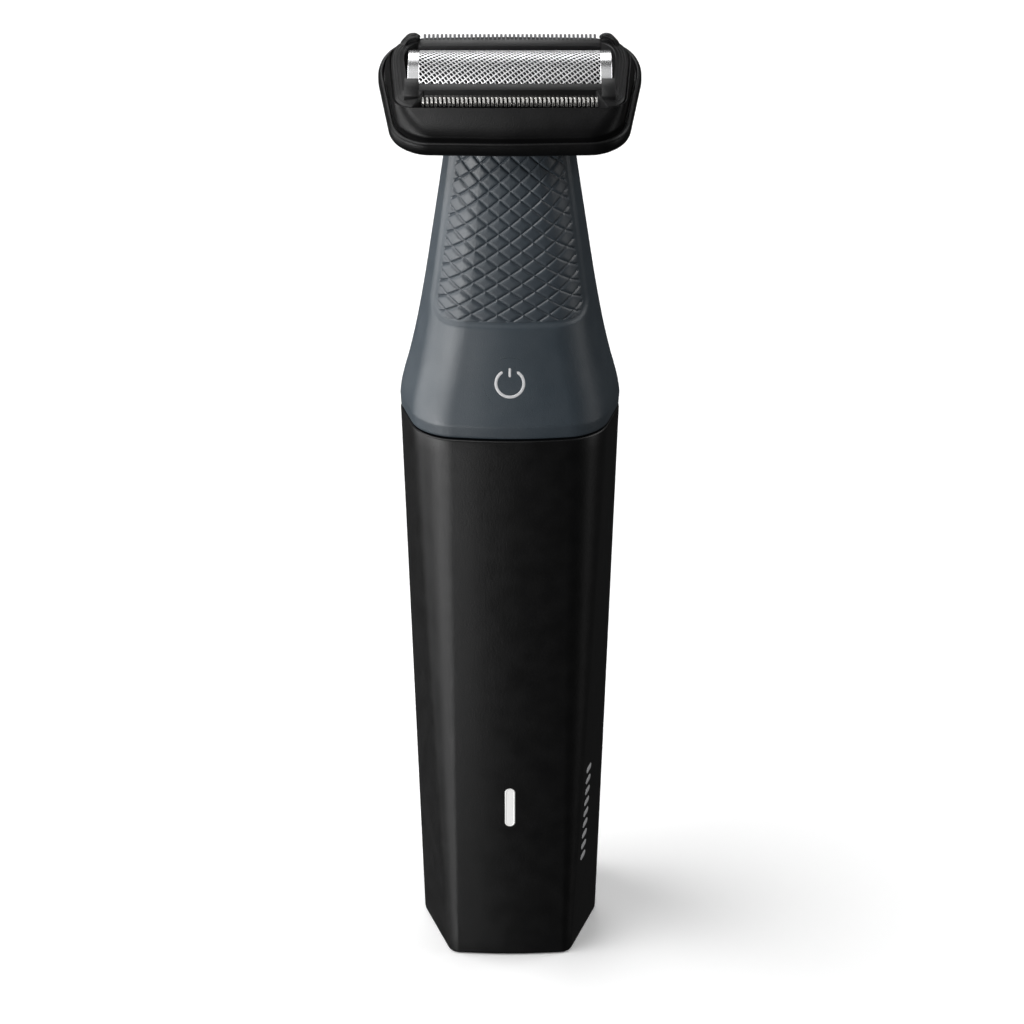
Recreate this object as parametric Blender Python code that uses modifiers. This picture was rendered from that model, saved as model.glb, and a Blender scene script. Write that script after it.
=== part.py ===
"""Body groomer: a tapered handle, a slim grip neck and a foil shaving head that pulls off.

Every length below is in millimetres, and the helpers turn it into metres.
X is across the handle, -Y is the front with the button, and Z is up. The handle stands on
its flat end at Z = 0. The head's own pieces are modelled in a frame that leans forward:
its X is across, its Y runs from the front trimmer to the rear one, and its Z points out of
the foil.
"""

from math import atan2, cos, pi, radians, sin, sqrt, tan

import bmesh
import bpy
from mathutils import Matrix, Vector

MM = 0.001
GAP = 0.3                 # between pieces that touch on the real object

# Handle and neck: half width, half depth, front corner, corner radius, crown radius
SEAM_Z = 108.7            # top of the dark sleeve
NECK_Z = 109.0            # bottom of the neck covers
NECK_TOP_Z = 159.5
BASE_SECTION = (16.70, 16.62, 11.07, 15.85, 2.4, 80.0)
SEAM_SECTION = (19.60, 15.81, 15.64, 13.90, 7.0, 64.0)
SIDE_RADIUS = 6.0         # soft edge along each side of the handle
NECK_CORNER = (0.80, 0.88)            # front corner, as parts of the half width and depth
NECK_TOP_RADII = (8.0, 22.0)          # corner and crown radius at the neck's top
NECK_SECTIONS = (                     # height, half width, half depth
    (109.0, 19.64, 15.81), (111.2, 19.64, 15.81), (113.4, 19.40, 15.36), (115.6, 18.88, 14.92),
    (119.3, 17.86, 14.22), (125.1, 16.52, 13.36), (132.7, 15.10, 12.42), (144.0, 13.30, 11.06),
    (155.0, 11.62, 9.76), (159.5, 11.00, 9.30))
SLEEVE_WALL = 1.6
NECK_WALL = 1.9

# Grip pads in the front and back of the neck
PAD_BOTTOM, PAD_TOP = 128.9, 157.6
PAD_BOTTOM_HALF, PAD_TOP_HALF = 14.5, 10.4
PAD_CORNER = 3.6
PAD_RECESS, PAD_THICK = 0.15, 0.8

# Power button
BUTTON_Z, BUTTON_Y = 119.2, -14.24
BUTTON_RADIUS, BUTTON_THICK = 4.5, 1.25
BUTTON_LEAN = radians(10.5)           # the neck's face leans back by this much

# Charge indicator in the front of the sleeve
LENS_Z, LENS_HALF_HEIGHT, LENS_RADIUS = 33.3, 4.2, 0.95
LENS_FRONT, LENS_BACK = -16.34, -12.8

# Charging socket in the bottom end
CAP_THICK = 2.4
SOCKET_HALF, SOCKET_RADIUS = 3.0, 3.0  # half length between the round ends, end radius
SOCKET_DEPTH, SOCKET_WALL = 9.0, 1.2
PIN_X, PIN_RADIUS = 3.7, 0.75

# Battery, board and drive
CELL_RADIUS, CELL_Y, CELL_Z, CELL_LENGTH = 7.1, 1.7, 30.0, 49.0
BOARD_Y, BOARD_THICK = -10.6, 1.0
MOTOR_RADIUS, MOTOR_FLAT, MOTOR_Z, MOTOR_LENGTH = 10.2, 7.7, 118.0, 25.0
SHAFT_RADIUS, SCREW_X = 1.0, 6.0
ECCENTRICITY, DRIVE_PIN_RADIUS, DRIVE_PIN_TOP = 0.8, 0.8, 166.6
CAM_RADIUS, CAM_Z, CAM_LENGTH = 3.2, 147.6, 5.4
SPIGOT = (7.4, 6.0, 163.2)            # half width, half depth, top

# Head, in its own leaning frame
HEAD_LEAN = radians(18)
HEAD_ORIGIN = (0.0, 1.24, 166.4)
HEAD_CORNERS = (                      # x, y, radius, steps, from the front round to the rear
    (0.0, -15.8, 150.0, 2), (19.5, -15.3, 7.0, 5), (22.95, 6.0, 12.0, 3),
    (20.5, 15.0, 8.5, 5), (0.0, 15.4, 150.0, 2))
HEAD_WALL = 1.3
BELLY = 1.8                           # how far the underside swells out behind the neck
HEAD_FOOT_SCALE = (1.05, 1.06)        # foot of the head against the neck's top outline
HEAD_EDGE = (-1.7, 0.95, 0.94)        # height and outline scales of the rim's lower edge
HEAD_RIM_RINGS = ((-1.0, 1.0, 1.0), (0.8, 1.0, 1.0), (1.15, 0.985, 0.98))
HEAD_SHELL_RINGS = (                  # round the wall: up the outside, then down the inside
    (1.5, 0.945, 0.91), (2.1, 0.945, 0.905), (3.9, 0.93, 0.79), (4.6, 0.912, 0.70),
    (4.6, 0.898, 0.675), (3.2, 0.893, 0.668), (2.8, 0.89, 0.72), (1.9, 0.887, 0.84),
    (1.5, 0.887, 0.84))
SOCKET_FOOT, SOCKET_TUBE_WALL = 160.1, 1.2
FLANGE_HALF, FLANGE_RADIUS, FLANGE_THICK = 1.9, 7.8, 1.4
FOIL_HALF, FOIL_CHORD, FOIL_RADIUS, FOIL_CROWN = 17.2, 4.9, 7.5, 7.4
FOIL_SWEEP = atan2(FOIL_CHORD, sqrt(FOIL_RADIUS ** 2 - FOIL_CHORD ** 2))
FOIL_THICK, FOIL_STEPS = 0.3, 16
BAR_INNER, BAR_OUTER, BAR_BOTTOM, BAR_TOP = 5.2, 7.0, 5.05, 6.1
CASSETTE_SCALE, CASSETTE_BOTTOM, CASSETTE_TOP = (0.855, 0.62), 0.2, 6.5
WINDOW_HALF = 15.4                    # clear half width between the end blocks
TOOTH_PITCH = 0.73
GUARD_FILL, BLADE_FILL = 0.5, 0.55    # tooth width as part of the pitch
GUARDS = {                            # back, tooth root, tooth tip, bottom, top
    "front": (6.8, 7.1, 9.0, 4.35, 4.75), "rear": (7.3, 7.7, 10.55, 5.05, 5.5)}
BLADES = {"front": (6.0, 7.1, 8.5, 3.65, 4.05), "rear": (4.8, 7.7, 9.7, 4.35, 4.75)}
BLADE_HALF = 14.2
CUTTER_STROKE = 0.8
SPRING_X, SPRING_RADIUS, SPRING_WIRE, SPRING_TURNS = 7.5, 1.6, 0.36, 2
SPRING_BOTTOM, SPRING_TOP = 3.1, 4.1

FINISHES = {                          # colour, roughness, metallic
    "black_plastic": ((0.012, 0.012, 0.013), 0.45, 0.0),
    "head_plastic": ((0.016, 0.016, 0.017), 0.55, 0.0),
    "slate_plastic": ((0.052, 0.068, 0.086), 0.5, 0.0),
    "grip_rubber": ((0.046, 0.060, 0.076), 0.62, 0.0),
    "inner_plastic": ((0.55, 0.55, 0.53), 0.5, 0.0),
    "seal_rubber": ((0.03, 0.03, 0.03), 0.8, 0.0),
    "steel": ((0.62, 0.62, 0.63), 0.25, 1.0),
    "foil_steel": ((0.78, 0.78, 0.79), 0.15, 1.0),
    "brass": ((0.70, 0.52, 0.25), 0.3, 1.0),
    "board": ((0.02, 0.16, 0.06), 0.5, 0.0),
    "cell_wrap": ((0.08, 0.30, 0.16), 0.4, 0.0),
    "lens": ((0.9, 0.9, 0.9), 0.2, 0.0),
}


# ---------------------------------------------------------------- scene and object helpers

for old in list(bpy.data.objects):
    bpy.data.objects.remove(old, do_unlink=True)

parts = bpy.data.collections.new("body_groomer")
cutters = bpy.data.collections.new("cutters")
bpy.context.scene.collection.children.link(parts)
bpy.context.scene.collection.children.link(cutters)


def dress(obj, finish):
    """Give a piece its own material, or mark it as a cutter where finish is None."""
    if finish is None:
        cutters.objects.link(obj)
        obj.hide_render = True
        obj.display_type = "WIRE"
        return
    parts.objects.link(obj)
    color, roughness, metallic = FINISHES[finish]
    mat = bpy.data.materials.new(obj.name)
    mat.use_nodes = True
    shader = mat.node_tree.nodes["Principled BSDF"]
    shader.inputs["Base Color"].default_value = (*color, 1.0)
    shader.inputs["Roughness"].default_value = roughness
    shader.inputs["Metallic"].default_value = metallic
    obj.data.materials.append(mat)


def mesh_object(name, bm, finish, parent=None):
    mesh = bpy.data.meshes.new(name)
    bm.to_mesh(mesh)
    bm.free()
    mesh.shade_smooth()
    mesh.set_sharp_from_angle(angle=radians(30))
    obj = bpy.data.objects.new(name, mesh)
    obj.parent = parent
    dress(obj, finish)
    return obj


def box(name, low, high, finish=None, parent=None):
    low, high = Vector(low) * MM, Vector(high) * MM
    bm = bmesh.new()
    size = Matrix.Diagonal((*(high - low), 1.0))
    bmesh.ops.create_cube(bm, size=1.0, matrix=Matrix.Translation((low + high) / 2) @ size)
    return mesh_object(name, bm, finish, parent)


def cylinder(name, radius, low, high, finish=None, parent=None, at=(0.0, 0.0), segments=32):
    bm = bmesh.new()
    place = Matrix.Translation((at[0] * MM, at[1] * MM, (low + high) / 2 * MM))
    bmesh.ops.create_cone(bm, cap_ends=True, segments=segments, radius1=radius * MM,
                          radius2=radius * MM, depth=(high - low) * MM, matrix=place)
    return mesh_object(name, bm, finish, parent)


def loft(name, rings, finish=None, parent=None, capped=False, wrapped=False):
    """Skin through rings of equally many points, given bottom ring first.

    A wrapped skin runs on from the last ring to the first, round the inside of a wall.
    """
    bm = bmesh.new()
    loops = [[bm.verts.new(Vector(point) * MM) for point in ring] for ring in rings]
    count = len(loops[0])
    following = loops[1:] + loops[:1] if wrapped else loops[1:]
    for lower, upper in zip(loops, following):
        for i in range(count):
            j = (i + 1) % count
            bm.faces.new((lower[i], lower[j], upper[j], upper[i]))
    if capped:
        bm.faces.new(reversed(loops[0]))
        bm.faces.new(loops[-1])
    return mesh_object(name, bm, finish, parent)


def prism(name, outline, low, high, finish=None, parent=None, upright=False):
    """Flat outline thickened from low to high along Z, or along -Y where it stands upright."""
    curve = bpy.data.curves.new(name, "CURVE")
    curve.dimensions = "2D"
    curve.fill_mode = "BOTH"
    curve.extrude = (high - low) / 2 * MM
    spline = curve.splines.new("POLY")
    spline.points.add(len(outline) - 1)
    for point, (x, y) in zip(spline.points, outline):
        point.co = (x * MM, y * MM, 0.0, 1.0)
    spline.use_cyclic_u = True
    source = bpy.data.objects.new(name + "_outline", curve)
    cutters.objects.link(source)
    lift = Matrix.Translation((0.0, 0.0, (low + high) / 2 * MM))
    place = Matrix.Rotation(pi / 2, 4, "X") @ lift if upright else lift
    bpy.context.view_layer.update()
    evaluated = source.evaluated_get(bpy.context.evaluated_depsgraph_get())
    mesh = bpy.data.meshes.new_from_object(evaluated)
    bm = bmesh.new()
    bm.from_mesh(mesh)
    bmesh.ops.remove_doubles(bm, verts=bm.verts, dist=1e-7)
    bmesh.ops.recalc_face_normals(bm, faces=bm.faces)
    bmesh.ops.transform(bm, matrix=place, verts=bm.verts)
    bpy.data.objects.remove(source, do_unlink=True)
    bpy.data.meshes.remove(mesh)
    return mesh_object(name, bm, finish, parent)


def turned(name, profile, finish, parent=None, at=(0.0, 0.0), steps=24):
    """Solid turned from (radius, height) points that run from the top to the bottom."""
    bm = bmesh.new()
    verts = [bm.verts.new((radius * MM, 0.0, height * MM)) for radius, height in profile]
    for upper, lower in zip(verts, verts[1:]):
        bm.edges.new((upper, lower))
    obj = mesh_object(name, bm, finish, parent)
    obj.location = (at[0] * MM, at[1] * MM, 0.0)
    screw = obj.modifiers.new("turn", "SCREW")
    screw.steps = steps
    screw.render_steps = steps
    screw.use_merge_vertices = True
    screw.merge_threshold = 0.00001
    return obj


def boolean(obj, tool, operation="DIFFERENCE"):
    modifier = obj.modifiers.new(operation.lower(), "BOOLEAN")
    modifier.operation = operation
    modifier.object = tool
    modifier.solver = "EXACT"


def thicken(obj, wall):
    modifier = obj.modifiers.new("wall", "SOLIDIFY")
    modifier.thickness = wall * MM
    modifier.offset = -1.0
    modifier.use_even_offset = True


def round_edges(obj, width, segments=1, angle=50):
    modifier = obj.modifiers.new("rounding", "BEVEL")
    modifier.width = width * MM
    modifier.segments = segments
    modifier.limit_method = "ANGLE"
    modifier.angle_limit = radians(angle)


def joint_empty(name, location, parent=None, lean=0.0):
    empty = bpy.data.objects.new(name, None)
    empty.location = Vector(location) * MM
    empty.rotation_euler = (lean, 0.0, 0.0)
    empty.parent = parent
    parts.objects.link(empty)
    return empty


def hang_on(obj, empty):
    """Parent a piece to an empty and leave the piece where it is."""
    bpy.context.view_layer.update()
    obj.parent = empty
    obj.matrix_parent_inverse = empty.matrix_world.inverted()


# ---------------------------------------------------------------- outlines

def rounded_outline(corners):
    """Points of a closed, anticlockwise outline, from (x, y, radius, steps) corners."""
    points = []
    for i, (x, y, radius, steps) in enumerate(corners):
        here = Vector((x, y))
        before = (Vector(corners[i - 1][:2]) - here).normalized()
        after = (Vector(corners[(i + 1) % len(corners)][:2]) - here).normalized()
        half = before.angle(after) / 2
        centre = here + (before + after).normalized() * (radius / sin(half))
        arm = here + before * (radius / tan(half)) - centre
        for k in range(steps + 1):
            points.append(centre + Matrix.Rotation((pi - 2 * half) * k / steps, 2) @ arm)
    return points


def inset_outline(points, inset):
    """Move every point of an anticlockwise outline inwards."""
    moved = []
    for i, point in enumerate(points):
        along = (points[(i + 1) % len(points)] - points[i - 1]).normalized()
        moved.append(point + Vector((-along.y, along.x)) * inset)
    return moved


def handle_outline(width, depth, corner_x, corner_y, corner_radius, crown_radius):
    """Six-sided outline with soft side edges and a crowned front and back."""
    corners = []
    for turn in (0, 1):
        sign = 1 - 2 * turn
        corners += [(sign * width, 0.0, SIDE_RADIUS, 2),
                    (sign * corner_x, sign * corner_y, corner_radius, 4),
                    (0.0, sign * depth, crown_radius, 2),
                    (-sign * corner_x, sign * corner_y, corner_radius, 4)]
    points = rounded_outline(corners)
    fit_x = width / max(point.x for point in points)
    fit_y = depth / max(point.y for point in points)
    return [Vector((point.x * fit_x, point.y * fit_y)) for point in points]


def blend(low, high, share):
    return [a + (b - a) * share for a, b in zip(low, high)]


def sleeve_ring(z, inset=0.0):
    outline = handle_outline(*blend(BASE_SECTION, SEAM_SECTION, z / SEAM_Z))
    return [(x, y, z) for x, y in inset_outline(outline, inset)]


def neck_section(z):
    """Half width and half depth of the neck at a height."""
    for (low, *sizes), (high, *next_sizes) in zip(NECK_SECTIONS, NECK_SECTIONS[1:]):
        if z <= high:
            return blend(sizes, next_sizes, (z - low) / (high - low))
    return list(NECK_SECTIONS[-1][1:])


def neck_ring(z, inset=0.0):
    width, depth = neck_section(z)
    share = (z - NECK_Z) / (NECK_TOP_Z - NECK_Z)
    radii = blend(SEAM_SECTION[4:], NECK_TOP_RADII, share)
    outline = handle_outline(width, depth, NECK_CORNER[0] * width, NECK_CORNER[1] * depth, *radii)
    return [(x, y, z) for x, y in inset_outline(outline, inset)]


def head_outline(scale_x=1.0, scale_y=1.0):
    right = list(HEAD_CORNERS)
    left = [(-x, y, radius, steps) for x, y, radius, steps in reversed(right[1:-1])]
    return [(x * scale_x, y * scale_y) for x, y in rounded_outline(right + left)]


def head_ring(z, scale_x, scale_y):
    return [(x, y, z) for x, y in head_outline(scale_x, scale_y)]


def oval_outline(half, radius, steps=8, centre=(0.0, 0.0)):
    """Slot shape: two half circles, a distance of twice half apart along X."""
    points = []
    for side, start in ((1, -pi / 2), (-1, pi / 2)):
        for k in range(steps + 1):
            angle = start + pi * k / steps
            points.append((centre[0] + side * half + radius * cos(angle),
                           centre[1] + radius * sin(angle)))
    return points


def upright_slot(half, radius, z, steps=8):
    """The slot shape turned on end, round a height."""
    return [(-y, z + x) for x, y in oval_outline(half, radius, steps)]


def comb(name, half, sizes, side, fill, parent):
    """Trimmer comb: a plate with teeth, on the side -1 (front) or 1 (rear)."""
    back, root, tip, bottom, top = sizes
    points = [(-half, back), (half, back)]
    count = int(2 * half / TOOTH_PITCH)
    for i in reversed(range(count)):
        middle = (i - (count - 1) / 2) * TOOTH_PITCH
        wide, narrow = TOOTH_PITCH * fill / 2, TOOTH_PITCH * fill / 2 * 0.7
        points += [(middle + wide, root), (middle + narrow, tip),
                   (middle - narrow, tip), (middle - wide, root)]
    points.insert(2, (half, root))
    points.append((-half, root))
    outline = [(x, y * side) for x, y in points][::side]
    prism(name, outline, bottom, top, "steel", parent)


# ---------------------------------------------------------------- handle

def make_sleeve():
    rings = [sleeve_ring(z) for z in (0.0, 36.0, 72.0, SEAM_Z)]
    sleeve = loft("handle_sleeve", rings, "black_plastic")
    thicken(sleeve, SLEEVE_WALL)
    hole = prism("lens_hole", upright_slot(LENS_HALF_HEIGHT - LENS_RADIUS, LENS_RADIUS + GAP, LENS_Z),
                 10.0, 20.0, upright=True)
    boolean(sleeve, hole)
    round_edges(sleeve, 0.5)
    prism("indicator_lens", upright_slot(LENS_HALF_HEIGHT - LENS_RADIUS, LENS_RADIUS, LENS_Z),
          -LENS_BACK, -LENS_FRONT, "lens", upright=True)


def make_bottom():
    outline = [(x, y) for x, y, _ in sleeve_ring(0.0, SLEEVE_WALL + GAP + 0.05)]
    cap = prism("bottom_cap", outline, 0.0, CAP_THICK, "black_plastic")
    outer = SOCKET_RADIUS + SOCKET_WALL
    boolean(cap, prism("cap_hole", oval_outline(SOCKET_HALF, outer + GAP), -1.0, CAP_THICK + 1.0))
    housing = prism("socket_housing", oval_outline(SOCKET_HALF, outer), GAP,
                    SOCKET_DEPTH + 2.0, "black_plastic")
    boolean(housing, prism("socket_hole", oval_outline(SOCKET_HALF, SOCKET_RADIUS), -1.0,
                           SOCKET_DEPTH))
    for side, name in ((-1, "left"), (1, "right")):
        boolean(housing, cylinder("pin_hole_" + name, PIN_RADIUS + GAP, SOCKET_DEPTH - 1.0,
                                  SOCKET_DEPTH + 3.0, at=(side * PIN_X, 0.0), segments=16))
        turned("socket_pin_" + name, ((0.0, 13.5), (PIN_RADIUS, 13.5), (PIN_RADIUS, 3.6),
                                      (PIN_RADIUS * 0.6, 3.0), (0.0, 3.0)),
               "brass", at=(side * PIN_X, 0.0), steps=16)


def make_neck_shells():
    """Front and rear covers, their grip pads and the button, all cut from the same skin."""
    heights = [section[0] for section in NECK_SECTIONS]
    solid = {}
    for inset in (0.0, PAD_RECESS, PAD_RECESS + PAD_THICK, PAD_RECESS + PAD_THICK + GAP,
                  BUTTON_THICK):
        solid[inset] = loft("neck_solid", [neck_ring(z, inset) for z in heights], capped=True)
    centre = (0.0, BUTTON_Y * MM, BUTTON_Z * MM)
    for side, name in ((-1, "front"), (1, "rear")):
        cover = loft("neck_%s_cover" % name, [neck_ring(z) for z in heights], "slate_plastic")
        thicken(cover, NECK_WALL)
        low, high = sorted((side * GAP / 2, -side * 30.0))
        boolean(cover, box("cover_half", (-30.0, low, 100.0), (30.0, high, 170.0)))
        pad_corners = ((-PAD_BOTTOM_HALF, PAD_BOTTOM), (PAD_BOTTOM_HALF, PAD_BOTTOM),
                       (PAD_TOP_HALF, PAD_TOP), (-PAD_TOP_HALF, PAD_TOP))
        outline = rounded_outline([(x, z, PAD_CORNER, 5) for x, z in pad_corners])
        reach = sorted((-side * 1.0, -side * 20.0))
        pad = prism("%s_grip_pad" % name, outline, *reach, "grip_rubber", upright=True)
        boolean(pad, solid[PAD_RECESS], "INTERSECT")
        boolean(pad, solid[PAD_RECESS + PAD_THICK])
        pocket = prism("pad_pocket", inset_outline(outline, -GAP), *reach, upright=True)
        boolean(pocket, solid[PAD_RECESS + PAD_THICK + GAP])
        boolean(cover, pocket)
        if side < 0:
            hole = cylinder("button_hole", BUTTON_RADIUS + GAP, -6.0, 6.0)
            hole.location = centre
            hole.rotation_euler = (pi / 2 - BUTTON_LEAN, 0.0, 0.0)
            boolean(cover, hole)
    button = cylinder("power_button", BUTTON_RADIUS, -6.0, 6.0, "slate_plastic")
    button.rotation_euler = (pi / 2 - BUTTON_LEAN, 0.0, 0.0)
    button.location = centre
    boolean(button, solid[0.0], "INTERSECT")
    boolean(button, solid[BUTTON_THICK])


def make_neck_inside():
    seal = loft("neck_seal", [sleeve_ring(SEAM_Z - 2.5, NECK_WALL + 0.4),
                              sleeve_ring(SEAM_Z + 1.8, NECK_WALL + 0.4)], "seal_rubber")
    thicken(seal, 1.0)
    plate = [(x, y) for x, y, _ in neck_ring(156.0, NECK_WALL + 0.4)]
    mount = prism("head_mount", plate, 153.8, 156.0, "head_plastic")
    width, depth, top = SPIGOT
    spigot = prism("spigot", oval_outline(width - depth, depth), 155.0, top)
    boolean(mount, spigot, "UNION")
    boolean(mount, cylinder("mount_bore", 3.4, 150.0, 170.0))
    turned("drive_seal", ((2.3, 163.0), (2.6, 163.0), (3.05, 160.6), (3.05, 158.4), (2.3, 158.4),
                          (2.3, 163.0)), "seal_rubber")


def make_frame():
    frame = box("inner_frame", (-9.4, -6.2, 14.5), (9.4, 10.6, 114.5), "inner_plastic")
    for low, high in ((26.5, 83.5), (87.0, 111.5), (17.0, 23.5)):
        boolean(frame, box("frame_pocket", (-7.7, -7.0, low), (7.7, 9.1, high)))
    for low, high in ((34.0, 52.0), (58.0, 76.0), (91.0, 108.0)):
        boolean(frame, box("frame_window", (-11.0, -3.0, low), (11.0, 6.0, high)))


def make_electrics():
    end = CELL_Z + CELL_LENGTH
    turned("battery_cell", ((0.0, end + 0.8), (2.6, end + 0.8), (2.6, end), (CELL_RADIUS - 0.5, end),
                            (CELL_RADIUS, end - 0.5), (CELL_RADIUS, CELL_Z + 0.5),
                            (CELL_RADIUS - 0.5, CELL_Z), (0.0, CELL_Z)), "cell_wrap",
           at=(0.0, CELL_Y))
    box("battery_tab_top", (-2.4, -9.2, end + 1.1), (2.4, 4.2, end + 1.5), "steel")
    box("battery_tab_bottom", (-2.4, -9.2, CELL_Z - 0.8), (2.4, 4.2, CELL_Z - GAP), "steel")
    board = box("circuit_board", (-7.8, BOARD_Y, 22.0), (7.8, BOARD_Y + BOARD_THICK, 122.5), "board")
    for side in (-1, 1):
        low, high = sorted((side * 5.6, side * 9.0))
        boolean(board, box("board_step", (low, -12.0, 106.0), (high, -8.0, 125.0)))
    for name, z in (("lower", 26.0), ("upper", 100.0)):
        hole = cylinder("board_hole", 1.4, -3.0, 3.0, segments=16)
        hole.rotation_euler = (pi / 2, 0.0, 0.0)
        hole.location = (5.0 * MM, (BOARD_Y + BOARD_THICK / 2) * MM, z * MM)
        boolean(board, hole)
        screw = turned("board_screw_" + name, ((0.0, 1.0), (1.8, 1.0), (1.8, GAP), (1.0, GAP),
                                               (1.0, -2.4), (0.0, -2.4)), "steel", steps=16)
        screw.rotation_euler = (pi / 2, 0.0, 0.0)
        screw.location = (5.0 * MM, BOARD_Y * MM, z * MM)
    switch = box("tact_switch", (-3.0, -11.9, BUTTON_Z - 3.0), (3.0, BOARD_Y - GAP, BUTTON_Z + 3.0),
                 "black_plastic")
    knob = cylinder("switch_knob", 1.6, -0.6, 0.3, segments=20)
    knob.rotation_euler = (pi / 2, 0.0, 0.0)
    knob.location = (0.0, -11.9 * MM, BUTTON_Z * MM)
    boolean(switch, knob, "UNION")
    box("status_led", (-0.8, -11.9, LENS_Z - 1.6), (0.8, BOARD_Y - GAP, LENS_Z + 1.6), "lens")


def make_motor():
    top = MOTOR_Z + MOTOR_LENGTH
    flats = box("motor_flats", (-15.0, -MOTOR_FLAT, 100.0), (15.0, MOTOR_FLAT, 160.0))
    can = cylinder("motor_can", MOTOR_RADIUS, MOTOR_Z, top, "steel")
    end_cap = cylinder("motor_end_cap", MOTOR_RADIUS - 0.4, MOTOR_Z - 2.7, MOTOR_Z - GAP,
                       "black_plastic")
    bracket = cylinder("motor_bracket", 9.8, top + GAP, top + 2.1, "inner_plastic")
    for piece in (can, end_cap, bracket):
        boolean(piece, flats, "INTERSECT")
    boolean(can, cylinder("shaft_bore", SHAFT_RADIUS + GAP, top - 6.0, top + 1.0, segments=16))
    boolean(bracket, cylinder("bush_bore", 3.3, top, top + 3.0))
    for side, name in ((-1, "left"), (1, "right")):
        hole = cylinder("screw_bore_" + name, 1.15, top - 2.8, top + 3.0, at=(side * SCREW_X, 0.0),
                        segments=16)
        boolean(can, hole)
        boolean(bracket, hole)
        turned("motor_screw_" + name, ((0.0, top + 3.6), (1.7, top + 3.6), (1.7, top + 2.4),
                                       (0.85, top + 2.4), (0.85, top - 2.5), (0.0, top - 2.5)),
               "steel", at=(side * SCREW_X, 0.0), steps=16)
    turned("motor_bush", ((1.3, top + 2.1), (3.0, top + 2.1), (3.0, top + GAP), (1.3, top + GAP),
                          (1.3, top + 2.1)), "brass")
    rotor = joint_empty("rotor_axis", (0.0, 0.0, MOTOR_Z))
    shaft = cylinder("motor_shaft", SHAFT_RADIUS, top - 5.7, CAM_Z + 2.3, "steel", segments=16)
    cam = cylinder("eccentric_cam", CAM_RADIUS, CAM_Z, CAM_Z + CAM_LENGTH, "inner_plastic",
                   segments=24)
    boolean(cam, cylinder("cam_shaft_bore", SHAFT_RADIUS + GAP, CAM_Z - 1.0, CAM_Z + 2.6,
                          segments=16))
    boolean(cam, cylinder("cam_pin_bore", DRIVE_PIN_RADIUS + GAP, CAM_Z + 3.2, CAM_Z + 6.0,
                          at=(ECCENTRICITY, 0.0), segments=16))
    pin = cylinder("drive_pin", DRIVE_PIN_RADIUS, CAM_Z + 3.5, DRIVE_PIN_TOP, "steel",
                   at=(ECCENTRICITY, 0.0), segments=16)
    for piece in (shaft, cam, pin):
        hang_on(piece, rotor)


# ---------------------------------------------------------------- shaving head

def to_head(point):
    """A point of the upright frame, in the head's leaning frame."""
    x, y, z = point
    y, z = y - HEAD_ORIGIN[1], z - HEAD_ORIGIN[2]
    return (x, y * cos(HEAD_LEAN) + z * sin(HEAD_LEAN), z * cos(HEAD_LEAN) - y * sin(HEAD_LEAN))


def resample(points, reference):
    """Points of an outline at the angles where the reference outline has its points."""
    out = []
    for reference_x, reference_y in reference:
        ray = Vector((reference_x, reference_y)).normalized()
        for i, a in enumerate(points):
            b = points[(i + 1) % len(points)]
            edge = Vector((b[0] - a[0], b[1] - a[1]))
            denominator = ray.x * edge.y - ray.y * edge.x
            if abs(denominator) < 1e-12:
                continue
            distance = (a[0] * edge.y - a[1] * edge.x) / denominator
            along = (a[0] * ray.y - a[1] * ray.x) / denominator
            if distance > 0 and -1e-9 <= along <= 1 + 1e-9:
                out.append((ray.x * distance, ray.y * distance))
                break
    return out


def make_head(head):
    """Rim, shell, socket and foil cassette, in the head's frame."""
    outline = head_outline()
    wider, deeper = HEAD_FOOT_SCALE
    neck_top = [(x * wider, y * deeper) for x, y, _ in neck_ring(NECK_TOP_Z)]
    foot = [to_head((x, y, NECK_TOP_Z + GAP)) for x, y in resample(neck_top, outline)]
    knee = [to_head((x, y, NECK_TOP_Z + 1.3)) for x, y in resample(neck_top, outline)]
    edge = head_ring(*HEAD_EDGE)
    belly = [((a[0] + b[0]) / 2, (a[1] + b[1]) / 2, (a[2] + b[2]) / 2 - BELLY * (0.5 + a[1] / 32))
             for a, b in zip(knee, edge)]
    rings = [foot, knee, belly, edge] + [head_ring(*ring) for ring in HEAD_RIM_RINGS]
    base = loft("head_base", rings, "head_plastic", head)
    thicken(base, HEAD_WALL)
    rings = [head_ring(*ring) for ring in HEAD_SHELL_RINGS]
    loft("head_shell", rings, "head_plastic", head, wrapped=True)

    width, depth, socket_top = SPIGOT
    bore = depth + GAP
    socket = prism("head_socket", oval_outline(width - depth, bore + SOCKET_TUBE_WALL),
                   SOCKET_FOOT, socket_top, "head_plastic")
    flange = prism("socket_flange", oval_outline(FLANGE_HALF, FLANGE_RADIUS),
                   socket_top - FLANGE_THICK, socket_top)
    boolean(socket, flange, "UNION")
    boolean(socket, prism("socket_bore", oval_outline(width - depth, bore), SOCKET_FOOT - 1.0,
                          socket_top + 1.0))
    hang_on(socket, head)
    make_cassette(head)


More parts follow.
